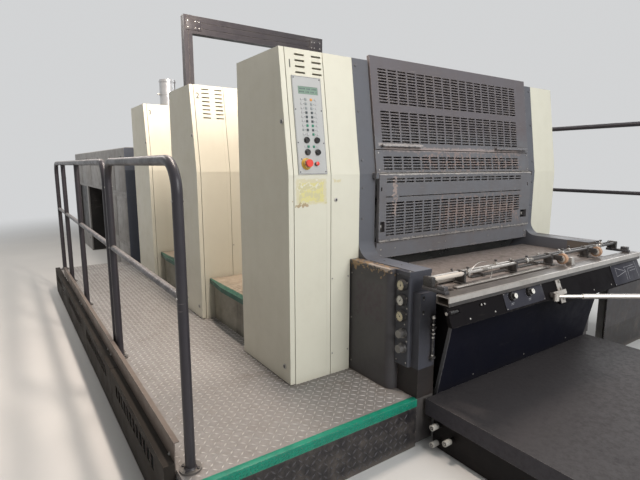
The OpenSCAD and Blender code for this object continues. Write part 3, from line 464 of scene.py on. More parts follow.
block((deck_end_x - 0.03, gallery_low.y, deck_top - 0.001), (green_face_x, riser_back_y, deck_top + 0.0022),
      0.0008)
block((deck_end_x, gallery_low.y, deck_top - 0.041), (green_face_x, riser_back_y, deck_top), 0.0008)
piece("gallery_green_edge", [safety_green])
tread_plate("green_edge_treads", (gallery_low.y + 0.004, deck_top - 0.039), (riser_back_y, deck_top - 0.004),
            green_face_x, safety_green, 0.0165, facing_infeed)

# The toe board and the skirt
# Folded sheet along the open side of the near gallery, painted dark and scuffed by trolleys.
# Both are bolted to the deck's frame, and punched vents let the warm air out below.
dress(painted("skirt_paint", (0.026, 0.023, 0.02), under=(0.16, 0.13, 0.11), grime_and_shade=(0.048, 0.04, 0.034),
              dirt=0.5, streaks=0.3, scratches=0.4, rough=0.55, specular=0.05), "gallery_skirt")
dress(painted("toe_paint", (0.17, 0.14, 0.121), under=(0.32, 0.29, 0.27), grime_and_shade=(0.075, 0.06, 0.05), dirt=0.5,
              scratches=0.5, chips=0.9, specular=0.15), "toe_board")
toe_low, toe_high = corners("toe_board")
for x in (toe_low.x + 0.07, -3.36, -3.26, -2.36, -2.26, -1.06, -0.96, toe_high.x - 0.07):
    rod((x, toe_low.y + 0.001, deck_top + 0.03), Y, toe_low.y - 0.006, 0.008, 6, 0.001)
    rod((x, toe_low.y + 0.003, deck_top + 0.03), Y, toe_low.y - 0.0012, 0.011)
piece("toe_board_bolts", [screw_steel])

# The railings
# Bent steel tube with a welded middle rail, in dark paint that hands have rubbed bright on top; the lighter tops are
# partly a painted highlight.
# Each post stands on a round flange that four hexagon bolts hold to the deck.
rail_top_z = deck_top + 1.238
near_rail_y = gallery_low.y + 0.05
# the lighter colour on the rails' tops: rubbed paint and painted highlight together
rubbed_and_highlit = (0.2, 0.185, 0.18)
railing_paint = painted(
    "railing_paint", (0.03, 0.027, 0.033), under=(0.26, 0.24, 0.225), grime_and_shade=(0.045, 0.04, 0.036), rough=0.3,
    scratches=0.6, scale=1.6, streaks=0,
    patches=[((-far, -far, deck_top - 0.01), (far, 0, deck_top + 0.0085), (0.16, 0.15, 0.14), 0.3),
             ((-far, -far, rail_top_z + 0.006), (far, 0, 3), rubbed_and_highlit, 0.2, 0.012, 0.02)]
            + [((back, -far, deck_top + 0.722), (front, 0, deck_top + 0.76), rubbed_and_highlit, 0.2, 0.012, 0.03)
               for back, front in ((-0.925, 0.355), (-2.295, -1.07), (-3.32, -2.345), (-4.03, -3.375))])
dress(railing_paint, "railing_1", "railing_2", "far_railing")


def ring(count, start=0):
    """Directions evenly round a circle, each a cosine and a sine."""
    turns = [math.radians(start + 360 / count * step) for step in range(count)]
    return [(math.cos(turn), math.sin(turn)) for turn in turns]


screwed_posts = (0.38, -0.95, -1.045, -2.32, -3.3475)
last_post = -4.055
for name, posts, y, z in (
        ("near_flange_bolts", (*screwed_posts, last_post), near_rail_y, deck_top),
        ("far_flange_bolts", (last_post, -2.74, -1.1645, 0.44), far_high.y - 0.06, far_high.z)):
    for x in posts:
        for along, across in ring(4, 45):
            rod((x + 0.034 * along, y + 0.034 * across, z + 0.008), Z, z + 0.013, 0.0062, 6, 0.0008)
        cone(move((x, y, z + 0.011)), 24, 0.027, 0.0215, 0.006)
    piece(name, [railing_paint])
for x, z, side in product(screwed_posts, (deck_top + 0.718, rail_top_z - 0.15), (-1, 1)):
    screw((x, near_rail_y + side * 0.0205, z), (0, side, 0))
piece("railing_screws", [screw_steel, black_screw])

# The towers and their doors
# Folded sheet cabinets over the ends of the units, powder coated in a light warm gray that has
# aged and picked up ink smears. Quarter-turn locks hold the doors, and each unit has its number.
kink_z = 1.44
lean_angle = math.atan(0.09 / 0.655)
lean = move((0, 0, kink_z)) @ Matrix.Rotation(-lean_angle, 4, "Y") @ move((0, 0, -kink_z))
leaning = upright @ lean
light_coat = painted(
    "light_powder_coat", (0.665, 0.65, 0.545), under=(0.44, 0.41, 0.34), grime_and_shade=(0.36, 0.32, 0.235), edge=0.003,
    chips=0.5, dirt=0.12, corners=0.35, streaks=0.05, scratches=0.12, rough=0.36, bump=0.05, specular=0.4,
    patches=[((-0.02, 0.04, 1.275), (0.02, 0.246, 1.425), (0.63, 0.585, 0.4), 0, 0.01, 0.03),
             ((-0.02, 0.062, 1.29), (0.02, 0.228, 1.405), (0.66, 0.61, 0.28), 0, 0.004, 0.05),
             ((-0.02, 0.062, 1.335), (0.02, 0.205, 1.4), (0.7, 0.68, 0.58), 0, 0.002, 0.2),
             ((-0.02, 0.07, 1.3), (0.02, 0.215, 1.385), (0.585, 0.545, 0.325), 0, 0.003, 0.22),
             ((-0.02, 0.036, 1.266), (0.02, 0.125, 1.292), (0.4, 0.31, 0.19), 0, 0.003, 0.12),
             ((-0.02, 0.285, 1.392), (0.02, 0.345, 1.418), (0.63, 0.57, 0.36), 0, 0.006, 0.03)])
dress(light_coat, "tower_1", "tower_2", "tower_3", "door_1", "door_2", "door_3", "frame_covers", "far_towers")
lock_black = painted("lock_black", (0.012, 0.012, 0.013), dirt=0.15, rough=0.3, edge=0.001)
lock_rim = painted("lock_rim", (0.5, 0.49, 0.47), dirt=0.2, rough=0.3, edge=0.001, metallic=0.35)
units_back = [-unit_pitch * unit for unit in range(3)]
for number, back in enumerate(units_back, 1):
    x = back - 0.062
    for z in (deck_top + 0.095, 1.715):
        rod((x, 0.001, z), Y, -0.0042, 0.0145, 24, 0.0012, 1)
        rod((x, -0.003, z), Y, -0.0058, 0.0092, 24, 0.0008)
        block((x - 0.0014, -0.0064, z - 0.006), (x + 0.0014, -0.0052, z + 0.006), 0, 1)
    piece("door_%d_locks" % number, [lock_black, lock_rim], body="door_%d" % number)
    letters = bpy.data.curves.new("unit_number", "FONT")
    letters.body, letters.align_x = str(number), "CENTER"
    letters.size, letters.extrude = 0.062, 0.0003
    flat = new_object("unit_number", letters)
    mesh = bpy.data.meshes.new_from_object(flat.evaluated_get(bpy.context.evaluated_depsgraph_get()))
    bpy.data.objects.remove(flat)
    mesh.transform(move((back, 0, 0)) @ leaning @ move((0.0004, 0.06, 1.999)) @ facing_infeed)
    mesh.materials.clear()
    mesh.materials.append(lock_black)
    mesh.name = "unit_number_%d" % number
    add_piece(mesh.name, mesh, "press")
cover_lock = (-0.001, 0.305, 1.3)
rod(cover_lock, X, 0.004, 0.011, 24, 0.001)
rod((0.003, *cover_lock[1:]), X, 0.0052, 0.006, 16, 0.0005, 1)
for x, y, z in product(units_back, (0.285, 0.398), (0.4, 0.85)):
    screw((x, y, z), (1, 0, 0), 0.0045)
piece("cover_fixings", [screw_steel, black_screw])
face_y = corners("far_towers")[1].y
for back in units_back:
    for x0, x1, z0, z1 in ((-0.56, -0.04, 0.625, 1.425), (-0.56, -0.13, 1.455, 2.06)):
        block((back + x0, face_y - 0.001, z0), (back + x1, face_y + 0.003, z1), 0.0022)
        hinge_x, lock_x = back + x0 - 0.006, back + x1 - 0.045
        for z in (z0 + 0.09, z1 - 0.09):
            rod((hinge_x, face_y + 0.005, z - 0.028), Z, z + 0.028, 0.0055, 14, 0.001, 1)
            rod((lock_x, face_y + 0.002, z), Y, face_y + 0.0068, 0.013, 24, 0.001, 1)
            rod((lock_x, face_y + 0.005, z), Y, face_y + 0.0082, 0.008, 20, 0.0006, 2)
    # vent louvres, each with a black strip under it as the painted shade of its opening
    for vent_x, row in product((-0.5, -0.33), range(8)):
        x, z = back + vent_x, 1.83 + row * 0.0235
        block((x, face_y + 0.0022, z), (x + 0.125, face_y + 0.006, z + 0.008), 0.0018)
        block((x + 0.002, face_y + 0.0025, z - 0.0045), (x + 0.123, face_y + 0.0034, z + 0.001), 0, 1)
piece("far_tower_doors", [light_coat, lock_black, lock_rim])

# The control panel
# A printed membrane plate screwed to the first tower, with a sunk display, four columns of keys,
# four black push buttons, a small stop and the emergency stop on its yellow collar.
panel_out = 0.006
first_key_z, key_pitch = 1.654, 0.0229
stop_z = 1.497
panel_black = painted("panel_black", (0.01, 0.01, 0.011), dirt=0.12, rough=0.22, edge=0.001, coat=0.3)
key_shades = [painted("key_" + name, colour, dirt=dirt, edge=0.001) for name, colour, dirt in (
    ("pale", (0.47, 0.47, 0.48), 0.15), ("gray", (0.27, 0.3, 0.3), 0.15), ("dark", (0.045, 0.06, 0.066), 0.15),
    ("green", (0.012, 0.2, 0.115), 0.1), ("orange", (0.72, 0.3, 0.035), 0.1))]
pale, gray, dark, green, orange = range(5)
collar_yellow = painted("collar_yellow", (0.7, 0.42, 0.03), dirt=0.25, rough=0.35, edge=0.002)
stop_red = painted("stop_red", (0.72, 0.045, 0.025), under=(0.5, 0.08, 0.05), dirt=0.06, rough=0.28,
                   edge=0.002, coat=0.4)
display_green = painted("display_green", (0.2, 0.3, 0.235), dirt=0.1, corners=0.8, rough=0.12, coat=1)
dress(painted("membrane_plate", (0.445, 0.452, 0.445), under=(0.3, 0.3, 0.3), grime_and_shade=(0.3, 0.29, 0.26),
              dirt=0.15, corners=0.2, chips=0.2, rough=0.33, edge=0.001), "control_panel")
dress(panel_black, "panel_buttons")
dress(stop_red, "estop_button")


def key(y, z, half, proud, edge, shade):
    block((panel_out - 0.001, y - half, z - half), (panel_out + proud, y + half, z + half), edge, shade)


# each column's place, half width and shades, from the panel's foot up
for y, half, shades in ((0.11, 0.0052, [pale, gray] + [pale] * 7),
                        (0.137, 0.0065, [pale, dark, green, dark, dark, dark, gray, gray, gray]),
                        (0.171, 0.0065, [green, dark, green, dark, dark, dark, gray, gray, orange]),
                        (0.2, 0.0052, [pale] * 9)):
    for row, shade in enumerate(shades):
        key(y, first_key_z + key_pitch * row, half, 0.003, 0.0012, shade)
for y in (0.134, 0.168):
    key(y, 1.589, 0.0065, 0.003, 0.0012, green)
for y in (0.114, 0.19):
    key(y, 1.589, 0.005, 0.0015, 0.0006, pale)
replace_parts(piece("panel_key_caps", key_shades, leaning), "panel_keys")
low_y, high_y, low_z, high_z = 0.0655, 0.2405, 1.4455, 1.9545
half_line = 0.0006
for y in (low_y, high_y):
    block((panel_out - 0.0004, y - half_line, low_z), (panel_out + 0.0002, y + half_line, high_z))
for z in (low_z, high_z):
    block((panel_out - 0.0004, low_y, z - half_line), (panel_out + 0.0002, high_y, z + half_line))
for z, y in [*product((1.948, 1.783, 1.609, 1.455), (0.072, 0.234)), (1.523, 0.085)]:
    screw((panel_out, y, z), (1, 0, 0), 0.0036, 0.0016)
for row, y in product(range(9), (0.1225, 0.1855)):
    rod((panel_out - 0.001, y, first_key_z + key_pitch * row), X, panel_out + 0.0012, 0.0017, 10, 0.0005)
piece("panel_print_and_screws", [panel_black, panel_black], leaning)
block((panel_out - 0.003, 0.0955, 1.8655), (panel_out - 0.0012, 0.2185, 1.9055))
display_gaps = ((0, 5), (0, 9), (1, 4), (1, 8), (1, 12))
for row, column in product(range(2), range(14)):
    y, z = 0.103 + column * 0.008, 1.8935 - row * 0.016
    if (row, column) not in display_gaps:
        block((panel_out - 0.0014, y, z - 0.0035), (panel_out - 0.001, y + 0.0042, z + 0.0035), 0, 1)
piece("panel_display", [display_green, key_shades[dark]], leaning)


def spin(geom, centre, axis, steps, angle=math.tau):
    bmesh.ops.spin(bm, geom=geom, cent=centre, axis=axis, angle=angle, steps=steps, use_merge=angle == math.tau)


profile = [bm.verts.new((x, 0, radius)) for x, radius in (
    (0.0062, 0.031), (0.01, 0.0305), (0.0135, 0.0265), (0.0262, 0.0253), (0.0263, 0.0215))]
for pair in pairwise(profile):
    bm.edges.new(pair)
spin(bm.verts[:] + bm.edges[:], (0, 0, 0), (1, 0, 0), 40)
bmesh.ops.remove_doubles(bm, verts=bm.verts, dist=0.00001)
bmesh.ops.recalc_face_normals(bm, faces=bm.faces)
bmesh.ops.translate(bm, vec=(0, 0.112, stop_z), verts=bm.verts)
piece("estop_collar", [collar_yellow], leaning)
rod((0.0175, 0.175, stop_z), X, 0.0235, 0.0108, 24, 0.002)
piece("small_stop_cap", [stop_red], leaning)

# The side frames, roofs and guards
# Cast side frames and pressed steel guards in the same dark blue-gray paint, rusty brown in the
# scuffs. The lower guard's long edges are rubbed bright by hands, and dust lies on its slots.
blue_gray = painted("blue_gray_paint", (0.105, 0.11, 0.126), under=(0.34, 0.3, 0.26),
                    grime_and_shade=(0.07, 0.06, 0.054), chips=1, dirt=0.35, scratches=0.4, rough=0.38)
lower_low, lower_high = corners("guard_lower")
dust_brown = (0.235, 0.18, 0.165)
bright_edge = (0.42, 0.4, 0.375)
guard_gray = painted(
    "guard_gray_paint", (0.132, 0.134, 0.146), under=(0.42, 0.37, 0.33), grime_and_shade=(0.105, 0.082, 0.07), chips=1,
    dirt=0.4, scratches=0.6, rough=0.4, scale=1.6,
    patches=[((-far, -far, 1.62), (far, far, 3), (0.116, 0.107, 0.117), 0, 0.1, 0.15),
             ((-far, 0.66, 1.568), (far, 2.04, 1.608), (0.3, 0.255, 0.245), 0, 0.01, 0.06),
             ((0.022, 0.7, 1.19), (far, 0.745, 1.44), (0.3, 0.245, 0.225), 0, 0.006, 0.08),
             ((-1, lower_low.y, lower_high.z - 0.012), (far, lower_high.y, lower_high.z + 0.01), bright_edge,
              0.7, 0.004, 0.03),
             ((0, lower_low.y, lower_low.z - 0.01), (far, lower_high.y, lower_low.z + 0.012), bright_edge,
              0.7, 0.004, 0.05),
             ((-far, 1.1, 1.055), (far, 2.04, 1.3), dust_brown, 0, 0.08, 0.55),
             ((-far, 0.95, 1.45), (far, 2.04, 1.57), dust_brown, 0, 0.05, 0.5),
             ((-far, 0.62, 1.6), (0.1, 0.98, 1.625), (0.36, 0.34, 0.33), 0.3, 0.004, 0.03)])
dress(blue_gray, "unit_frame_1", "unit_frame_2", "unit_frame_3", "unit_roofs")
dress(guard_gray, "guard_upper", "guard_middle", "guard_lower", "guard_sill", "inner_guards", "rear_guards")
for y in (0.628, 2.128):
    screw((0.022, y, 0.985), (1, 0, 0), 0.006)
    screw((0.022, y, 0.948), (1, 0, 0))
for y in (0.745, 1.21, 1.67):
    screw((0.022, y, 0.985), (1, 0, 0), 0.0045)
piece("sill_screws", [screw_steel, black_screw])
for y, z in product((0.618, 2.135), (1.462, 1.563)):
    screw((0.011, y, z), (1, 0, 0))
piece("middle_guard_screws", [screw_steel, black_screw], leaning)
# a turning latch behind each pocket of the lower guard, with its bright tongue
for y, z, wide, tall in ((0.61, 1.093, 0.036, 0.064), (2.043, 1.095, 0.08, 0.058)):
    block((0.012, y + 0.004, z + 0.01), (0.0155, y + wide - 0.004, z + tall - 0.016), 0.001, 1)
    rod((0.012, y + wide / 2, z + tall / 2), X, 0.02, 0.009, 20, 0.0015)
piece("lower_guard_latches", [screw_steel, lock_black], body="guard_lower")
for name, heights, place in (("side_frame_bolts", (1.18, 1.36), upright),
                             ("side_frame_top_bolts", (1.52, 1.8, 2.06), leaning)):
    for y, z in product((0.5, 2.23), heights):
        screw((0, y, z), (1, 0, 0), 0.0075, 0.004)
    piece(name, [blue_gray, lock_black], place)


def lean_on_unit(back):
    """Takes what was just built at the first unit's foot to a unit further back, leaning."""
    fresh = [vert for vert in bm.verts if vert.co.x > -0.5]
    bmesh.ops.transform(bm, matrix=move((back, 0, 0)) @ lean, verts=fresh)


# the second and third units' guards: rows of black strips, the painted shade of punched slots, and the handles
first_y, last_y, columns, rise = 0.65, 2.026, 17, 0.0175
slot_pitch = (last_y - first_y) / columns
for back in units_back[1:]:
    for low, high in ((1.627, 1.814), (1.858, 2.05)):
        for row, column in product(range(int((high - low - 0.01) / rise) + 1), range(columns)):
            y, z = first_y + column * slot_pitch + 0.0065, low + row * rise
            block((-0.001, y, z), (0.0003, y + slot_pitch - 0.013, z + 0.01))
    lean_on_unit(back)
piece("inner_guard_slots", [lock_black])
handle_z = 1.598
for back in units_back[1:]:
    for z in (1.6, 1.834):
        block((-0.001, 0.625, z), (0.01, 2.135, z + 0.014), 0.004)
    for y in (0.9, 1.84):
        rod((0.028, y - 0.075, handle_z), Y, y + 0.075, 0.0075, 16, 0.002, 1)
        for side in (-1, 1):
            rod((-0.001, y + side * 0.066, handle_z), X, 0.03, 0.006, 14, 0, 1)
    lean_on_unit(back)
piece("inner_guard_handles", [guard_gray, lock_black])
rear_x = corners("rear_guards")[0].x
for unit in range(3):
    x = rear_x + (2 - unit) * unit_pitch
    # louvres, each with a black strip under it as the painted shade of its opening
    for field, row in product(range(3), range(6)):
        y, z = 0.7 + field * 0.49, 1.77 + row * 0.042
        block((x - 0.0085, y, z), (x + 0.001, y + 0.4, z + 0.016), 0.005)
        block((x - 0.0015, y + 0.003, z - 0.009), (x + 0.001, y + 0.397, z + 0.001), 0, 1)
    for y, z in product((0.625, 1.135, 1.625, 2.125), (1.45, 1.74, 2.03)):
        screw((x, y, z), (-1, 0, 0), 0.006, 0.003)
piece("rear_guard_louvres", [guard_gray, lock_black])
roof_z = corners("unit_roofs")[1].z
for back, y in product(units_back, (0.66, 1.41)):
    block((back - 0.555, y, roof_z - 0.001), (back - 0.205, y + 0.69, roof_z + 0.004), 0.0025)
    for x, across in product((-0.535, -0.225), (0.03, 0.345, 0.66)):
        screw((back + x, y + across, roof_z + 0.004), (0, 0, 1), 0.0065, 0.003, 1)
    rod((back - 0.44, y + 0.345, roof_z + 0.02), X, back - 0.32, 0.006, 14, 0.0015, 1)
    for x in (-0.43, -0.33):
        rod((back + x, y + 0.345, roof_z + 0.002), Z, roof_z + 0.022, 0.0055, 12, 0, 1)
piece("roof_hatches", [blue_gray, lock_black])

# The cylinders and ink rollers behind the guards
# Ground and chromed steel cylinders turn in the side frames, and rubber-covered rollers lie
# round the plate cylinder. They show only as dark round shapes behind the slots.
dress(painted("ground_steel", (0.45, 0.45, 0.44), under=(0.6, 0.6, 0.6), dirt=0.5, rough=0.25, metallic=0.9),
      "print_cylinders")
dress(painted("roller_rubber", (0.022, 0.02, 0.026), rough=0.5), "ink_rollers")

# The side cabinets and the gauge box
# Welded sheet cabinets close the infeed's sides. Their tops are rubbed through to orange-brown
# primer, and the gauge box carries three pressure gauges over two fluted regulators.
cabinet_gray = painted(
    "cabinet_gray", (0.066, 0.063, 0.067), under=(0.3, 0.19, 0.1), grime_and_shade=(0.035, 0.03, 0.03), chips=0.8,
    dirt=0.35, scratches=0.3, rough=0.36,
    patches=[((-0.1, -1, 0.938), (0.345, 0.47, 1), (0.115, 0.112, 0.118), 0, 0.004, 0.02),
             ((-0.1, -1, 0.915), (0.345, 0.47, 1), (0.3, 0.2, 0.11), 0, 0.006, 0.26),
             ((0.16, -1, 0.936), (0.345, 0.44, 1), (0.42, 0.36, 0.31), 0, 0.002, 0.06),
             ((0.03, -1, 0.62), (0.3, 0.47, 0.86), (0.06, 0.045, 0.056), 0, 0.08, 0.25)])
box_blue_gray = (0.05, 0.053, 0.066)
ledge_paint = painted("ledge_paint", (0.115, 0.125, 0.15), under=(0.33, 0.29, 0.25), dirt=0.35)
infeed_rim = corners("infeed_frame")[1].z
infeed_paint = painted(
    "infeed_paint", (0.02, 0.018, 0.018), under=(0.16, 0.14, 0.12), grime_and_shade=(0.035, 0.026, 0.022), dirt=0.5,
    patches=[((0.3, -1, 0.4336), (0.52, 0.6, 0.96), box_blue_gray),
             ((-1, 1.9, 0.6), (0.6, 2.47, infeed_rim - 0.002), (0.125, 0.108, 0.092), 0, 0.001),
             ((-1, 1.9, infeed_rim - 0.002), (0.6, 2.47, 1.2), box_blue_gray, 0, 0.001)])
dial_cream, dial_white = (
    painted(name, colour, grime_and_shade=grime_and_shade, dirt=0.25, corners=0.3, rough=0.3, coat=0.6, bump=0.02)
    for name, colour, grime_and_shade in (("dial_cream", (0.66, 0.6, 0.42), (0.42, 0.34, 0.2)),
                                ("dial_white", (0.62, 0.61, 0.56), (0.42, 0.38, 0.3))))
dress(cabinet_gray, "side_cabinet_near", "side_cabinet_far")
dress(infeed_paint, "infeed_frame")
dress(painted("gauge_box_paint", box_blue_gray, under=(0.26, 0.24, 0.22), grime_and_shade=(0.035, 0.032, 0.032),
              rough=0.36, scratches=0.3), "gauge_box")
dress(painted("gauge_black", (0.012, 0.012, 0.013), dirt=0.2, rough=0.28, edge=0.001,
              patches=[((-far, -far, 0.45), (far, far, 0.66), (0.23, 0.225, 0.22), 0.8)]), "gauges")
gauge_x, gauge_face_y = 0.4003, 0.426
bezel_radius = 0.0282


def loop(segments, radius, shape):
    """A small circle to be swept: its points and its lines."""
    made = bmesh.ops.create_circle(bm, segments=segments, radius=radius, matrix=shape)["verts"]
    return made + lines_of(made)


for number, z, needle_angle, face in ((1, 0.876, -8, dial_cream), (2, 0.794, 28, dial_white),
                                      (3, 0.708, -42, dial_cream)):
    dial_y = gauge_face_y + 0.004
    rod((gauge_x, dial_y, z), Y, dial_y - 0.0006, 0.0255, 32)
    for step in range(11):
        turn = Matrix.Rotation(math.radians(-135 + 27 * step), 4, "Y")
        cube(move((gauge_x, dial_y - 0.0007, z)) @ turn @ move((0, 0, 0.0205))
             @ Matrix.Diagonal((0.0011 if step % 5 else 0.0018, 0.0004, 0.005, 1)), 1)
    cone(move((gauge_x, dial_y - 0.0012, z)) @ Matrix.Rotation(math.radians(needle_angle), 4, "Y")
         @ move((0, 0, 0.006)), 4, 0.0016, 0.0004, 0.026, 1)
    rod((gauge_x, dial_y, z), Y, dial_y - 0.0022, 0.003, 16, 0.0004, 1)
    centre = Vector((gauge_x, gauge_face_y, z))
    spin(loop(10, 0.0022, move((gauge_x + bezel_radius, gauge_face_y, z)) @ Matrix.Rotation(math.pi, 4, "X")),
         centre, (0, 1, 0), 36)
    for part in bm.faces:
        if abs((part.calc_center_median() - centre).length - 0.028) < 0.004:
            part.material_index = 1
    for side in (-1, 1):
        ear_x, ear_z = gauge_x + side * 0.0305, z + 0.0165
        rod((ear_x, 0.4505, ear_z), Y, 0.4475, 0.0075, 16, 0.0008, 1)
        rod((ear_x, 0.448, ear_z), Y, 0.4452, 0.0038, 12, 0.0008, 2)
    bmesh.ops.remove_doubles(bm, verts=bm.verts, dist=0.000001)
    piece("gauge_dial_%d" % number, [face, lock_black, screw_steel])
for x, z in ((0.36, 0.928), (0.432, 0.754), (0.36, 0.772), (0.418, 0.665), (0.434, 0.575), (0.362, 0.455),
             (0.434, 0.456)):
    screw((x, 0.45, z), (0, -1, 0), 0.0042, 0.002)
for z in (0.822, 0.745):
    rod((0.4995, 0.5, z), X, 0.5015, 0.008, 20, 0.0006, 1)
    rod((0.4995, 0.5, z - 0.012), X, 0.5018, 0.0034, 12, 0.0006)
screw((0.436, 0.46, 0.95), (0, 0, 1), 0.0065, 0.0035)
piece("gauge_box_fixings", [screw_steel, lock_black])
# the painted strip along the top of the side frame, over the cabinet and the gauge box
block((0.105, 0.4745, 0.9495), (0.454, 0.6, 0.9535), 0.0015)
for x in (0.16, 0.3):
    screw((x, 0.535, 0.9535), (0, 0, 1), 0.006)
piece("cabinet_ledge", [ledge_paint, lock_black])
for z in (0.33, 0.6, 0.87):
    screw((0.012, 0.418, z), (0, -1, 0), 0.0045)
piece("cabinet_screws", [screw_steel, lock_black])

# The feed table and its hold-down bars
# A steel table that years of spray powder and paper dust have browned. Two steel bars in clamps
# lie over its end, with collars, flat sheet stops, a wire hoop, and two fibre wheels on arms.
bright_steel = painted("bright_steel", (0.6, 0.575, 0.54), under=(0.22, 0.18, 0.15), grime_and_shade=(0.16, 0.13, 0.11),
                       dirt=0.35, rough=0.24, metallic=0.85)
black_steel = painted("black_steel", (0.022, 0.021, 0.022), under=(0.28, 0.26, 0.24), dirt=0.35, rough=0.33,
                      scratches=0.6, chips=1)
hub_pale = painted("hub_pale", (0.55, 0.5, 0.44), rough=0.35, edge=0.001)
dull_and_shaded_steel = painted("dull_and_shaded_steel", (0.105, 0.1, 0.098), under=(0.35, 0.33, 0.3), grime_and_shade=(0.035, 0.03, 0.027),
                     dirt=0.4, rough=0.28, metallic=0.6, scratches=0.5)
block_gray = painted("block_gray", (0.06, 0.059, 0.064), under=(0.34, 0.32, 0.3), grime_and_shade=(0.03, 0.027, 0.025),
                     dirt=0.4, rough=0.36, chips=1)
dress(painted("table_steel", (0.235, 0.203, 0.185), under=(0.42, 0.38, 0.34), grime_and_shade=(0.08, 0.062, 0.052),
              dirt=0.9, scale=4.5, rough=0.5, metallic=0.15, scratches=0.5), "feed_table")
dress(dull_and_shaded_steel, "hold_down_bars")
dress(painted("wheel_fibre", (0.43, 0.27, 0.175), grime_and_shade=(0.2, 0.12, 0.075), dirt=0.35, rough=0.5, edge=0.003),
      "wheel_1", "wheel_2")
bar_z = 0.93
back_bar_x, front_bar_x = 0.526, 0.56
wheel_x, wheel_z = 0.611, 0.915
wheel_places = (1.61, 2.045)
table_z = 0.8702
# each bar: bright steel on its near half, and on its far half darker steel as the painted shade of the same rod
for x in (back_bar_x, front_bar_x):
    rod((x, 0.475, bar_z), Y, 1.19, 0.009, 24, 0.001)
    rod((x, 1.18, bar_z), Y, 2.44, 0.0088, 24, 0.001, 1)
    rod((x, 0.4735, bar_z), Y, 0.4785, 0.0095, 20, 0.001, 2)
rod((front_bar_x, 0.505, bar_z), Y, 0.712, 0.012, 28, 0.0012, 3)
for y in (0.47, 2.405):
    block((0.51, y, 0.8752), (0.66, y + 0.032, 0.8925), 0.002, 4)
    block((0.512, y + 0.003, 0.8915), (0.574, y + 0.029, 0.944), 0.0055, 2)
    block((0.606, y + 0.001, 0.8915), (0.652, y + 0.031, 0.914), 0.003, 4)
    for x, top in ((0.543, 0.944), (0.629, 0.914)):
        rod((x, y + 0.016, top - 0.001), Z, top + 0.0022, 0.0048, 12, 0.0008)
for y in (0.72, 1.18, 1.56, 2.01):
    block((0.506, y - 0.004, table_z), (0.58, y + 0.026, 0.88), 0.0015, 2)
    block((0.513, y + 0.003, 0.8795), (0.573, y + 0.019, 0.944), 0.006, 2)
    rod((0.543, y + 0.011, 0.943), Z, 0.9475, 0.0052, 6, 0.0006)
for y in wheel_places:
    block((0.554, y - 0.028, 0.906), (0.62, y - 0.018, 0.939), 0.004, 2)
    rod((wheel_x, y - 0.026, wheel_z), Y, y + 0.0165, 0.0058, 20, 0.001)
cone(move((0.634, 1.672, 0.8982)) @ Matrix.Diagonal((0.75, 1, 1, 1)) @ Matrix.Rotation(math.pi / 4, 4, "Z"),
     4, 0.034, 0.014, 0.046)
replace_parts(piece("hold_down_set", [bright_steel, dull_and_shaded_steel, black_steel, hub_pale, block_gray]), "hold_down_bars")
for x, y in ((front_bar_x, 0.76), (back_bar_x, 1.05), (front_bar_x, 1.3), (front_bar_x, 1.7),
             (back_bar_x, 1.84), (front_bar_x, 2.14), (back_bar_x, 2.28)):
    rod((x, y - 0.01, bar_z), Y, y + 0.01, 0.0155, 24, 0.0015)
    rod((x, y, bar_z), Z, bar_z + 0.024, 0.0035, 12)
    rod((x, y, bar_z + 0.022), Z, bar_z + 0.032, 0.008, 12, 0.0012, 1)
piece("bar_collars", [bright_steel, black_steel])
for start, turn in product((0.885, 1.325, 2.165), range(7)):
    centre = Vector((front_bar_x, start + turn * 0.0055, bar_z))
    spin(loop(6, 0.0013, move(centre) @ move((0.0115, 0, 0))), centre, (0, 1, 0), 18)
piece("bar_springs", [screw_steel])
# a bent wire guide that stands up from the first clamp and comes down on the rail
centre = Vector((0.585, 0.84, 0.915))
spin(loop(8, 0.002, move(centre + Vector((0, -0.095, 0)))), centre, (-1, 0, 0), 40, math.radians(215))
bmesh.ops.transform(bm, matrix=move(centre) @ Matrix.Diagonal((1, 1, 0.72, 1)) @ move(-centre), verts=bm.verts)
bmesh.ops.contextual_create(bm, geom=[line for line in bm.edges if line.is_boundary][:8])
bmesh.ops.contextual_create(bm, geom=[line for line in bm.edges if line.is_boundary])
bmesh.ops.recalc_face_normals(bm, faces=bm.faces)
piece("wire_hoop", [screw_steel])
# flat bars along the table's end with slotted lugs, as sheet stops and side lays
block((0.47, 0.88, table_z), (0.5, 1.62, 0.8782), 0.001)
block((0.395, 1.28, table_z), (0.42, 2.08, 0.8772), 0.001)
block((0.585, 0.62, 0.8752), (0.612, 1.48, 0.8832), 0.001, 1)
for y in (0.96, 1.22, 1.5):
    block((0.44, y, table_z), (0.512, y + 0.018, 0.89), 0.0015)
    screw((0.456, y + 0.009, 0.89), (0, 0, 1), 0.0055)
for y in (1.4, 1.72, 1.98):
    block((0.372, y, table_z), (0.43, y + 0.016, 0.888), 0.0015)
    rod((0.385, y + 0.008, 0.887), Z, 0.903, 0.0075, 16, 0.0015, 1)
piece("sheet_stops", [black_steel, bright_steel])
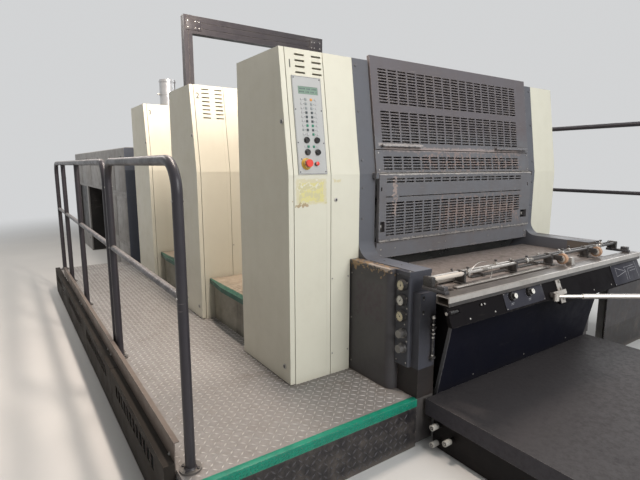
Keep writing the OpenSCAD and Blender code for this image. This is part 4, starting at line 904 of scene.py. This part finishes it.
# a pale roller on a stub beside the gauge box, with its locking lever
for y, stop, radius, around, edge, skin in ((0.612, 0.742, 0.015, 28, 0.002, 0), (0.609, 0.7425, 0.006, 12, 0, 1),
                                            (0.742, 0.752, 0.012, 24, 0.001, 1)):
    rod((0.48, y, 0.888), Y, stop, radius, around, edge, skin)
block((0.466, 0.7515, table_z), (0.494, 0.765, 0.9), 0.002, 1)
bar((0.48, 0.758, 0.898), (0.462, 0.752, 0.928), 0.0038, 12, 0, 1)
bar((0.463, 0.752, 0.926), (0.459, 0.751, 0.934), 0.0065, 16, 0.002, 1)
piece("near_roller", [hub_pale, black_steel])
for number, y in enumerate(wheel_places, 1):
    for side in (-1, 1):
        rod((wheel_x, y + side * 0.0118, wheel_z), Y, y + side * 0.0138, 0.0235, 32, 0.0006)
        rod((wheel_x, y + side * 0.013, wheel_z), Y, y + side * 0.0146, 0.0125, 24, 0.0006, 1)
        for along, rising in ring(3, 30):
            rod((wheel_x + 0.018 * along, y + side * 0.0135, wheel_z + 0.018 * rising), Y, y + side * 0.0147,
                0.0022, 8, 0, 1)
    piece("wheel_%d_hub" % number, [hub_pale, black_steel], body="wheel_%d" % number)

# The end rail and the fascia
# A bright worn steel rail closes the table. Below it a black fascia leans out, with a sunk row
# of controls: a lever, two sockets, two knobs on a dark plate, and a plate with a flow diagram.
fascia_slope = math.atan(58 / 140)
fascia_face = upright @ move((0.68, 0, 0.8297)) @ Matrix.Rotation(math.pi / 2 - fascia_slope, 4, "Y")
knob_down = 0.034
knob_places = (0.957, 1.117)
slate_plate = painted("slate_plate", (0.026, 0.026, 0.036), under=(0.15, 0.15, 0.15),
                      grime_and_shade=(0.016, 0.015, 0.018), dirt=0.35, rough=0.35, scratches=0.3, edge=0.001, specular=0.2)
print_pale = painted("print_pale", (0.34, 0.34, 0.36), grime_and_shade=(0.1, 0.1, 0.1), dirt=0.5, rough=0.4, edge=0.0005)
knob_cap_white = painted("knob_cap_white", (0.7, 0.69, 0.64), grime_and_shade=(0.36, 0.33, 0.27), dirt=0.25, rough=0.3,
                         edge=0.002)
fascia_black = painted("fascia_black", (0.0062, 0.0054, 0.0064), under=(0.06, 0.055, 0.05),
                       grime_and_shade=(0.012, 0.01, 0.01), dirt=0.35, rough=0.5, scratches=0.3, specular=0.05)
dress(painted("rail_bright", (0.56, 0.535, 0.505), under=(0.2, 0.17, 0.15), grime_and_shade=(0.12, 0.1, 0.085),
              dirt=0.45, corners=0.9, rough=0.3, metallic=0.75, scratches=0.6, scale=1.5,
              patches=[((-far, -far, 0.8), (far, far, 0.848), (0.012, 0.011, 0.012), 0, 0.0008),
                       ((-far, -far, 0.8735), (0.69, far, 1), (0.105, 0.096, 0.09), 0.3, 0.0012),
                       ((0.612, 0.3, 0.8425), (0.688, 0.5155, 0.8665), (0.03, 0.027, 0.024), 0.2, 0.001)]),
      "table_rail")
dress(fascia_black, "table_fascia")
dress(panel_black, "knob_1", "knob_2")
# thin printed plates over the fascia's two raised pads, with a screw in each corner
for y0, y1, deep in ((0.893, 1.257, 0.099), (2.083, 2.493, 0.1435)):
    block((0.0085, y0, 0.0016), (deep, y1, 0.0026), 0.0004)
    for down, y in product((0.014, deep - 0.006), (y0 + 0.007, y1 - 0.007)):
        rod((down, y, 0.002), Z, 0.0038, 0.003, 12, 0.0005, 1)
piece("fascia_plates", [slate_plate, screw_steel], fascia_face)
# a ring of short strokes round each knob, longer at the ends and the middle of its travel
for y in knob_places:
    for step in range(15):
        cube(move((knob_down, y, 0.0027)) @ Matrix.Rotation(math.radians(40 + 20 * step), 4, "Z")
             @ move((0.0285, 0, 0)) @ Matrix.Diagonal((0.0045 if step % 7 else 0.007, 0.001, 0.0004, 1)))
    block((0.068, y - 0.012, 0.0025), (0.0705, y + 0.012, 0.0029))
    block((0.076, y - 0.018, 0.0025), (0.0775, y + 0.006, 0.0029))
piece("knob_scales", [print_pale], fascia_face)
for number, y in enumerate(knob_places, 1):
    rod((knob_down, y, 0.0066), Z, 0.0185, 0.0203, 40, 0.0015)
    for along, across in ring(20):
        rod((knob_down + 0.0196 * along, y + 0.0196 * across, 0.0075), Z, 0.018, 0.0016, 8)
    rod((knob_down, y, 0.0325), Z, 0.0352, 0.0142, 40, 0.0012, 1)
    block((0.0205, y - 0.0009, 0.0349), (knob_down, y + 0.0009, 0.0355))
    piece("knob_%d_cap" % number, [panel_black, knob_cap_white], fascia_face,
          "knob_%d" % number)
# a funnel's outline and a few long plain lines, printed pale on the slate plate
thick = 0.0024
for run in (((0.03, 2.141), (0.089, 2.139), (0.069, 2.272), (0.03, 2.141)),
            ((0.126, 2.268), (0.069, 2.272), (0.04, 2.262), (0.036, 2.405)),
            ((0.126, 2.301), (0.066, 2.305), (0.054, 2.318), (0.052, 2.42)),
            ((0.072, 2.335), (0.07, 2.42)),
            ((0.014, 2.432), (0.126, 2.44))):
    for a, b in pairwise(map(Vector, run)):
        cube(move((*(a + b) / 2, 0.0028)) @ Matrix.Rotation(math.atan2(b.y - a.y, b.x - a.x), 4, "Z")
             @ Matrix.Diagonal(((b - a).length + thick, thick, 0.0006, 1)))
piece("flow_diagram", [print_pale], fascia_face)
# the two sockets, the lever's bright end and dark sleeve, and the screws below
for y in (0.7, 0.726):
    rod((knob_down, y, 0.006), Z, 0.0095, 0.0056, 20, 0.0008)
    rod((knob_down, y, 0.009), Z, 0.0098, 0.003, 12, 0, 1)
rod((knob_down, 0.4285, 0.016), Y, 0.4275, 0.0082, 20)
rod((knob_down, 0.452, 0.016), Y, 0.506, 0.0088, 20, 0.0012, 1)
for down, places in ((0.086, (0.6, 0.8, 1.32)), (0.126, (1.55, 1.8, 2.03))):
    for y in places:
        rod((down, y, -0.001), Z, 0.0022, 0.0048, 12, 0.0008)
piece("fascia_fittings", [screw_steel, panel_black], fascia_face)

# The swing tube
# A plated tube on a knuckle under the fascia, thicker along its outer part, which swings out
# to hold the sheets' side guide. A bracket bolted to the fascia's face carries it.
dress(painted("tube_finish", (0.6, 0.57, 0.53), under=(0.25, 0.17, 0.12), grime_and_shade=(0.22, 0.15, 0.11), dirt=0.4,
              rough=0.27, metallic=0.75, scale=3), "swing_tube")
for down in (0.022, 0.062, 0.124):
    rod((down, 1.431, 0.006), Z, 0.0115, 0.0068, 6, 0.0008)
    rod((down, 1.431, 0.006), Z, 0.0075, 0.0095, 20)
piece("bracket_bolts", [screw_steel], fascia_face)

# The front cover
# Sheet steel below the table that leans out from a fold, in navy paint. Its near edge is rubbed
# light, and screws hold it to the frame behind. A height adjuster stands beside it.
dress(painted("navy_paint", (0.0062, 0.0066, 0.0118), under=(0.08, 0.08, 0.09), grime_and_shade=(0.011, 0.01, 0.011),
              dirt=0.35, rough=0.5, scratches=0.3, specular=0.06,
              patches=[((-far, 0.6, 0.2), (far, 0.611, 0.8), (0.1, 0.1, 0.105), 0, 0.003, 0.012)]),
      "front_cover")
# the inner sheet that closes the space between the leg and the cover's leaning part, near black as the painted shade
# inside the frame
outline = ((0.42, 0.28), (0.501, 0.28), (0.546, 0.5), (0.5955, 0.744), (0.612, 0.826), (0.42, 0.826))
sheet = bm.faces.new([bm.verts.new((x, 0.64, z)) for x, z in outline])
pushed = bmesh.ops.extrude_face_region(bm, geom=[sheet])["geom"]
bmesh.ops.translate(bm, vec=(0, 0.002, 0), verts=[part for part in pushed if isinstance(part, bmesh.types.BMVert)])
bmesh.ops.recalc_face_normals(bm, faces=bm.faces)
piece("cover_return", [fascia_black])
for y in (0.632, 2.13):
    screw((0.526, y, 0.335), (1, 0, -0.2), 0.007, 0.004)
for y in (0.9, 1.4, 1.9):
    screw((0.5265, y, 0.31), (1, 0, -0.2), 0.005, 0.003)
piece("cover_screws", [screw_steel, black_screw])
# a threaded spindle in two lugs on the frame's leg, with lock nuts and a ball knob on top
x, y = 0.513, 0.566
rod((x, y, 0.47), Z, 0.7, 0.0042, 16, 0, 1)
for turn in range(22):
    rod((x, y, 0.5 + turn * 0.006), Z, 0.5025 + turn * 0.006, 0.0049, 12, 0, 1)
for z in (0.486, 0.655):
    block((0.4995, y - 0.013, z - 0.006), (x + 0.011, y + 0.013, z + 0.006), 0.0015, 1)
for z in (0.5, 0.598, 0.641, 0.669):
    rod((x, y, z - 0.004), Z, z + 0.004, 0.0088, 6, 0.0008)
rod((x, y, 0.618), Z, 0.624, 0.0125, 24, 0.001)
bmesh.ops.create_uvsphere(bm, u_segments=24, v_segments=14, radius=0.0125, matrix=move((x, y, 0.708)))
piece("height_adjuster", [screw_steel, black_steel])

# The platform's carriage
# Dark welded beams under the platform, with three pale plastic guide rollers at its near corner.
# A hexagon bolt on a dark washer holds each roller.
dress(painted("beam_dark", (0.014, 0.013, 0.014), under=(0.12, 0.1, 0.09), grime_and_shade=(0.035, 0.029, 0.026),
              dirt=0.4, specular=0.1, patches=[((0.555, 0.4, 0.02), (0.72, 0.5375, 0.17), (0.55, 0.54, 0.5))]),
      "platform_beams")
for x, z in ((0.59, 0.143), (0.594, 0.049), (0.677, 0.1)):
    rod((x, 0.496, z), Y, 0.4935, 0.0065, 6, 0.0006)
    rod((x, 0.4955, z), Y, 0.4945, 0.0095, 20, 0, 1)
piece("guide_roller_bolts", [screw_steel, lock_black])

# The gantry
# Two grooved posts on the last unit's frames with a grooved beam between them, in purple-gray
# paint. Corner plates and cap screws join the beam to the posts.
gantry_paint = painted("gantry_paint", (0.033, 0.029, 0.034), under=(0.3, 0.28, 0.27), scratches=0.3, rough=0.35)
dress(gantry_paint, "gantry")
x, top = corners("gantry")[1].xz
for y, side in ((0.535, 1), (2.2075, -1)):
    edge = y + side * 0.045
    block((x, edge - side * 0.065, top - 0.15), (x + 0.005, edge + side * 0.1, top - 0.035), 0.001)
    for offset, z in product((-0.045, 0.035, 0.075), (top - 0.125, top - 0.06)):
        screw((x + 0.005, edge + side * offset, z), (1, 0, 0), 0.007, 0.004, 2)
    block((x - 0.105, y - 0.062, 2.0955), (x + 0.015, y + 0.062, 2.1065), 0.001)
piece("gantry_joints", [gantry_paint, lock_black, screw_steel])

# The exhaust stub
# Galvanised sheet rolled to a tube, with swaged bands. The zinc shows its spangle.
# A bolted clamp closes round its lower band.
dress(painted("duct_steel", (0.5, 0.51, 0.52), under=(0.62, 0.62, 0.62), grime_and_shade=(0.25, 0.24, 0.22), dirt=0.35,
              rough=0.28, metallic=0.9, scale=3), "exhaust_stub")
x, y = ((low + high) / 2 for low, high in zip(*(corner.xy for corner in corners("exhaust_stub"))))
for side in (-1, 1):
    lug = x + side * 0.006
    block((lug - 0.002, y - 0.104, 2.216), (lug + 0.002, y - 0.084, 2.23), 0.0005)
rod((x - 0.016, y - 0.096, 2.223), X, x + 0.016, 0.0032, 12)
rod((x - 0.013, y - 0.096, 2.223), X, x - 0.008, 0.006, 6)
piece("duct_clamp", [screw_steel])

# The delivery
# Sheet housings on a welded frame, in gray paint. The end towards the units is blue, darker
# below. Quarter-turn locks and flush handles hold the side panels, and the surfaces inside the
# pile bay's sides and the recess beyond it are painted near black as shade.
delivery_low, delivery_high = corners("delivery_head")
blue_from = units_back_x - 0.004
delivery_gray = painted(
    "delivery_gray", (0.215, 0.207, 0.198), under=(0.36, 0.33, 0.3), grime_and_shade=(0.1, 0.092, 0.084), dirt=0.25,
    streaks=0.06, scratches=0.2, rough=0.4,
    # the first three patches: the inside of the recess beyond the pile bay and the bay's two sides, near black as
    # painted shade
    patches=[((-7.974, 0.012, 0.296), (-6.991, far, 1.13), (0.01, 0.009, 0.01)),
             ((-6.9, 0.02, 0), (-6.8, 2.7, 1.127), (0.014, 0.013, 0.013)),
             ((-5.5, 0.02, 0), (-5.44, 2.7, 1.127), (0.014, 0.013, 0.013)),
             ((blue_from, -1, 0), (units_back_x + 1, far, 1.43), (0.095, 0.108, 0.145)),
             ((blue_from, -1, 1.43), (units_back_x + 1, far, 3), (0.19, 0.21, 0.262)),
             ((-far, -far, 1.694), (far, far, 3), (0.33, 0.31, 0.28), 0, 0.002, 0.004)])
dress(delivery_gray, "delivery_front", "delivery_head", "delivery_end")
dress(painted("pallet_wood", (0.36, 0.22, 0.12), under=(0.42, 0.3, 0.19), grime_and_shade=(0.14, 0.09, 0.06), dirt=0.5,
              rough=0.7, streaks=0.2, bump=0.4), "delivery_pile_board")
delivery_sides = (("near", 0, -1), ("far", delivery_high.y, 1))
for name, face_y, out in delivery_sides:
    for x, z in product((-3.92, -4.36, -4.54, -5.3), (0.62, 1.04)):
        rod((x, face_y, z), Y, face_y + out * 0.004, 0.012, 20, 0.001)
        block((x - 0.0014, face_y + out * 0.0036, z - 0.005), (x + 0.0014, face_y + out * 0.0048, z + 0.005), 0, 1)
    for x in (-4.05, -4.75, -5.7, -6.8, -7.8):
        block((x - 0.055, face_y, 1.56), (x + 0.055, face_y + out * 0.003, 1.6), 0.001)
        rod((x - 0.045, face_y + out * 0.006, 1.58), X, x + 0.045, 0.005, 12, 0.001, 1)
        for side in (-1, 1):
            rod((x + side * 0.042, face_y, 1.58), Y, face_y + out * 0.008, 0.004, 10, 0, 1)
    piece("delivery_%s_fittings" % name, [lock_black, screw_steel])
head_bays = [*pairwise((units_back_x, -4.45, -5.12, -6.35, -7.35, delivery_low.x))]
door_bays = ((units_back_x, -4.45), (-4.45, -5.35))
# flush panels with a rolled edge between the head's seams, and the doors below them
for name, face_y, out in delivery_sides:
    for bays, gap, z0, z1 in ((head_bays, 0.022, 1.165, 1.52), (door_bays, 0.03, 0.56, 1.095),
                              (door_bays, 0.03, 0.11, 0.485)):
        for front, back in bays:
            block((back + gap, face_y - out * 0.001, z0), (front - 0.022, face_y + out * 0.0035, z1), 0.003)
    for x, z in product((-5.4, -7.03, -7.9), (1.06, 0.2)):
        rod((x, face_y, z), Y, face_y + out * 0.004, 0.012, 20, 0.001, 1)
    piece("delivery_%s_panels" % name, [delivery_gray, lock_black])
# lift-off hatches with folded grips along the head, and a cable trunk with strap clips
top = delivery_high.z
for front, back in head_bays:
    middle = (front + back) / 2
    for y0, y1 in ((0.3, 1.22), (1.28, 2.2)):
        block((back + 0.03, y0, top - 0.001), (front - 0.03, y1, top + 0.005), 0.003)
        for y in (y0 + 0.1, y1 - 0.1):
            rod((middle - 0.07, y, top + 0.024), X, middle + 0.07, 0.006, 14, 0.0015, 1)
            for side in (-1, 1):
                rod((middle + side * 0.06, y, top + 0.003), Z, top + 0.026, 0.0055, 12, 0, 1)
trunk_y = delivery_high.y - 0.3
block((delivery_low.x + 0.2, trunk_y, top - 0.001), (units_back_x - 0.06, trunk_y + 0.1, top + 0.052), 0.004, 2)
for front, back in head_bays:
    middle = (front + back) / 2
    block((middle - 0.015, trunk_y - 0.012, top - 0.001), (middle + 0.015, trunk_y + 0.112, top + 0.055), 0.002, 1)
piece("delivery_top_fittings", [delivery_gray, lock_black, dull_and_shaded_steel])
# two flush doors with hinges on the delivery's end face, and a vent field of black strips as the painted shade of its
# slots
x = delivery_low.x
for side in (-1, 1):
    middle = (delivery_low.y + delivery_high.y) / 2
    block((x - 0.004, middle + side * 0.012, 0.16), (x + 0.001, middle + side * 1.05, 1.08), 0.0015)
    rod((x - 0.004, middle + side * 0.07, 0.66), X, x - 0.009, 0.014, 20, 0.001, 1)
    for z in (0.3, 0.94):
        rod((x - 0.006, middle + side * 1.056, z - 0.04), Z, z + 0.04, 0.007, 16, 0.001, 1)
    vent_y = middle + side * 0.55
    for row in range(8):
        z = 0.28 + row * 0.022
        block((x - 0.0045, vent_y - 0.13, z), (x - 0.0036, vent_y + 0.13, z + 0.008), 0, 1)
piece("delivery_end_doors", [delivery_gray, lock_black])
